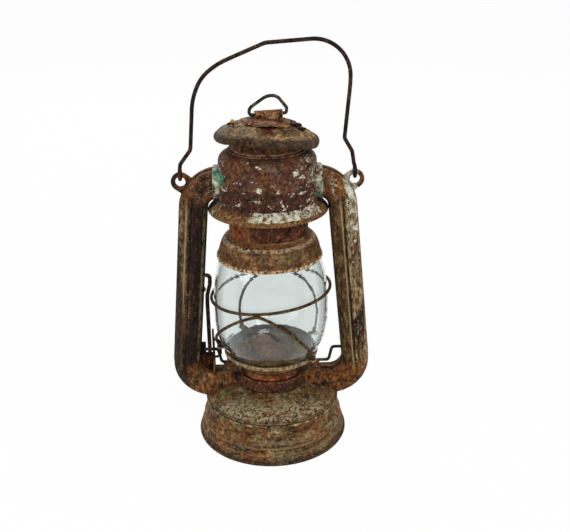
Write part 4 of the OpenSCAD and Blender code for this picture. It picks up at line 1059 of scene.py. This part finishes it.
def plain_floor():
    mesh = bpy.data.meshes.new("floor")
    reach, steps = 9.0, 96
    turns = [2 * math.pi * i / steps for i in range(steps)]
    ring = [(reach * math.cos(a), reach * math.sin(a), 0) for a in turns]
    mesh.from_pydata(ring, [], [list(range(steps))])
    floor = bpy.data.objects.new("floor", mesh)
    bpy.context.scene.collection.objects.link(floor)
    g = Graph("floor")
    matt = g.node("ShaderNodeBsdfDiffuse")
    g.put(matt.inputs["Color"], (0.95, 0.95, 0.95, 1))
    white = g.node("ShaderNodeEmission")
    seen = g.node("ShaderNodeLightPath")
    share = Value(g, seen.outputs["Is Camera Ray"]).most(Value(g, seen.outputs["Is Glossy Ray"]))
    share = share.most(Value(g, seen.outputs["Is Transmission Ray"])) * 0.97
    both = g.node("ShaderNodeMixShader")
    g.put(both.inputs[0], share)
    g.tree.links.new(matt.outputs[0], both.inputs[1])
    g.tree.links.new(white.outputs[0], both.inputs[2])
    out = g.node("ShaderNodeOutputMaterial")
    g.tree.links.new(both.outputs[0], out.inputs["Surface"])
    mesh.materials.append(g.material)


def soft_world():
    world = bpy.data.worlds.new("studio")
    bpy.context.scene.world = world
    world.use_nodes = True
    tree = world.node_tree
    tree.nodes.clear()
    path = tree.nodes.new("ShaderNodeLightPath")
    seen = path.outputs["Is Camera Ray"]
    for kind in ("Is Glossy Ray", "Is Transmission Ray"):
        both = tree.nodes.new("ShaderNodeMath")
        both.operation = "MAXIMUM"
        tree.links.new(seen, both.inputs[0])
        tree.links.new(path.outputs[kind], both.inputs[1])
        seen = both.outputs[0]
    light, white = (tree.nodes.new("ShaderNodeBackground") for _ in range(2))
    light.inputs["Strength"].default_value = 0.4
    for shader in (light, white):  # studio white
        shader.inputs["Color"].default_value = (1, 1, 1, 1)
    mix = tree.nodes.new("ShaderNodeMixShader")
    out = tree.nodes.new("ShaderNodeOutputWorld")
    tree.links.new(seen, mix.inputs[0])
    tree.links.new(light.outputs[0], mix.inputs[1])
    tree.links.new(white.outputs[0], mix.inputs[2])
    tree.links.new(mix.outputs[0], out.inputs["Surface"])


def soft_lamp(name, place, aim, width, power):
    data = bpy.data.lights.new(name, "AREA")
    data.shape = "DISK"
    data.size = width
    data.energy = power
    lamp = bpy.data.objects.new(name, data)
    lamp.location = place
    lamp.rotation_mode = "QUATERNION"
    lamp.rotation_quaternion = (Vector(aim) - Vector(place)).to_track_quat("-Z", "Y")
    bpy.context.scene.collection.objects.link(lamp)


def main_camera():
    """Stands in front of the lantern and looks down on it, slightly rolled."""
    pan, pitch, roll = (math.radians(a) for a in (1.133, 22.856, -0.746))
    ahead = Vector((math.sin(pan) * math.cos(pitch), math.cos(pan) * math.cos(pitch), -math.sin(pitch)))
    right = Vector((math.cos(pan), -math.sin(pan), 0))
    up = right.cross(ahead)
    side = right * math.cos(roll) + up * math.sin(roll)
    top = up * math.cos(roll) - right * math.sin(roll)
    data = bpy.data.cameras.new("main")
    data.lens, data.sensor_width, data.sensor_fit = 53.68, 36, "HORIZONTAL"
    data.clip_start, data.clip_end = 0.01, 50
    camera = bpy.data.objects.new("main", data)
    camera.matrix_world = Matrix((side, top, -ahead)).transposed().to_4x4()
    camera.matrix_world.translation = (0, -0.5562, 0.36565)
    bpy.context.scene.collection.objects.link(camera)
    bpy.context.scene.camera = camera


plain_floor()
soft_world()
middle = (0, 0, 0.13)
soft_lamp("key", (0.55, -1.1, 1.15), middle, 0.9, 11)
soft_lamp("fill", (-1.2, -0.7, 0.6), middle, 0.9, 5)
soft_lamp("rim", (-0.3, 1.3, 1.0), middle, 0.9, 6)
main_camera()

view = bpy.context.scene.view_settings
view.view_transform = "Standard"
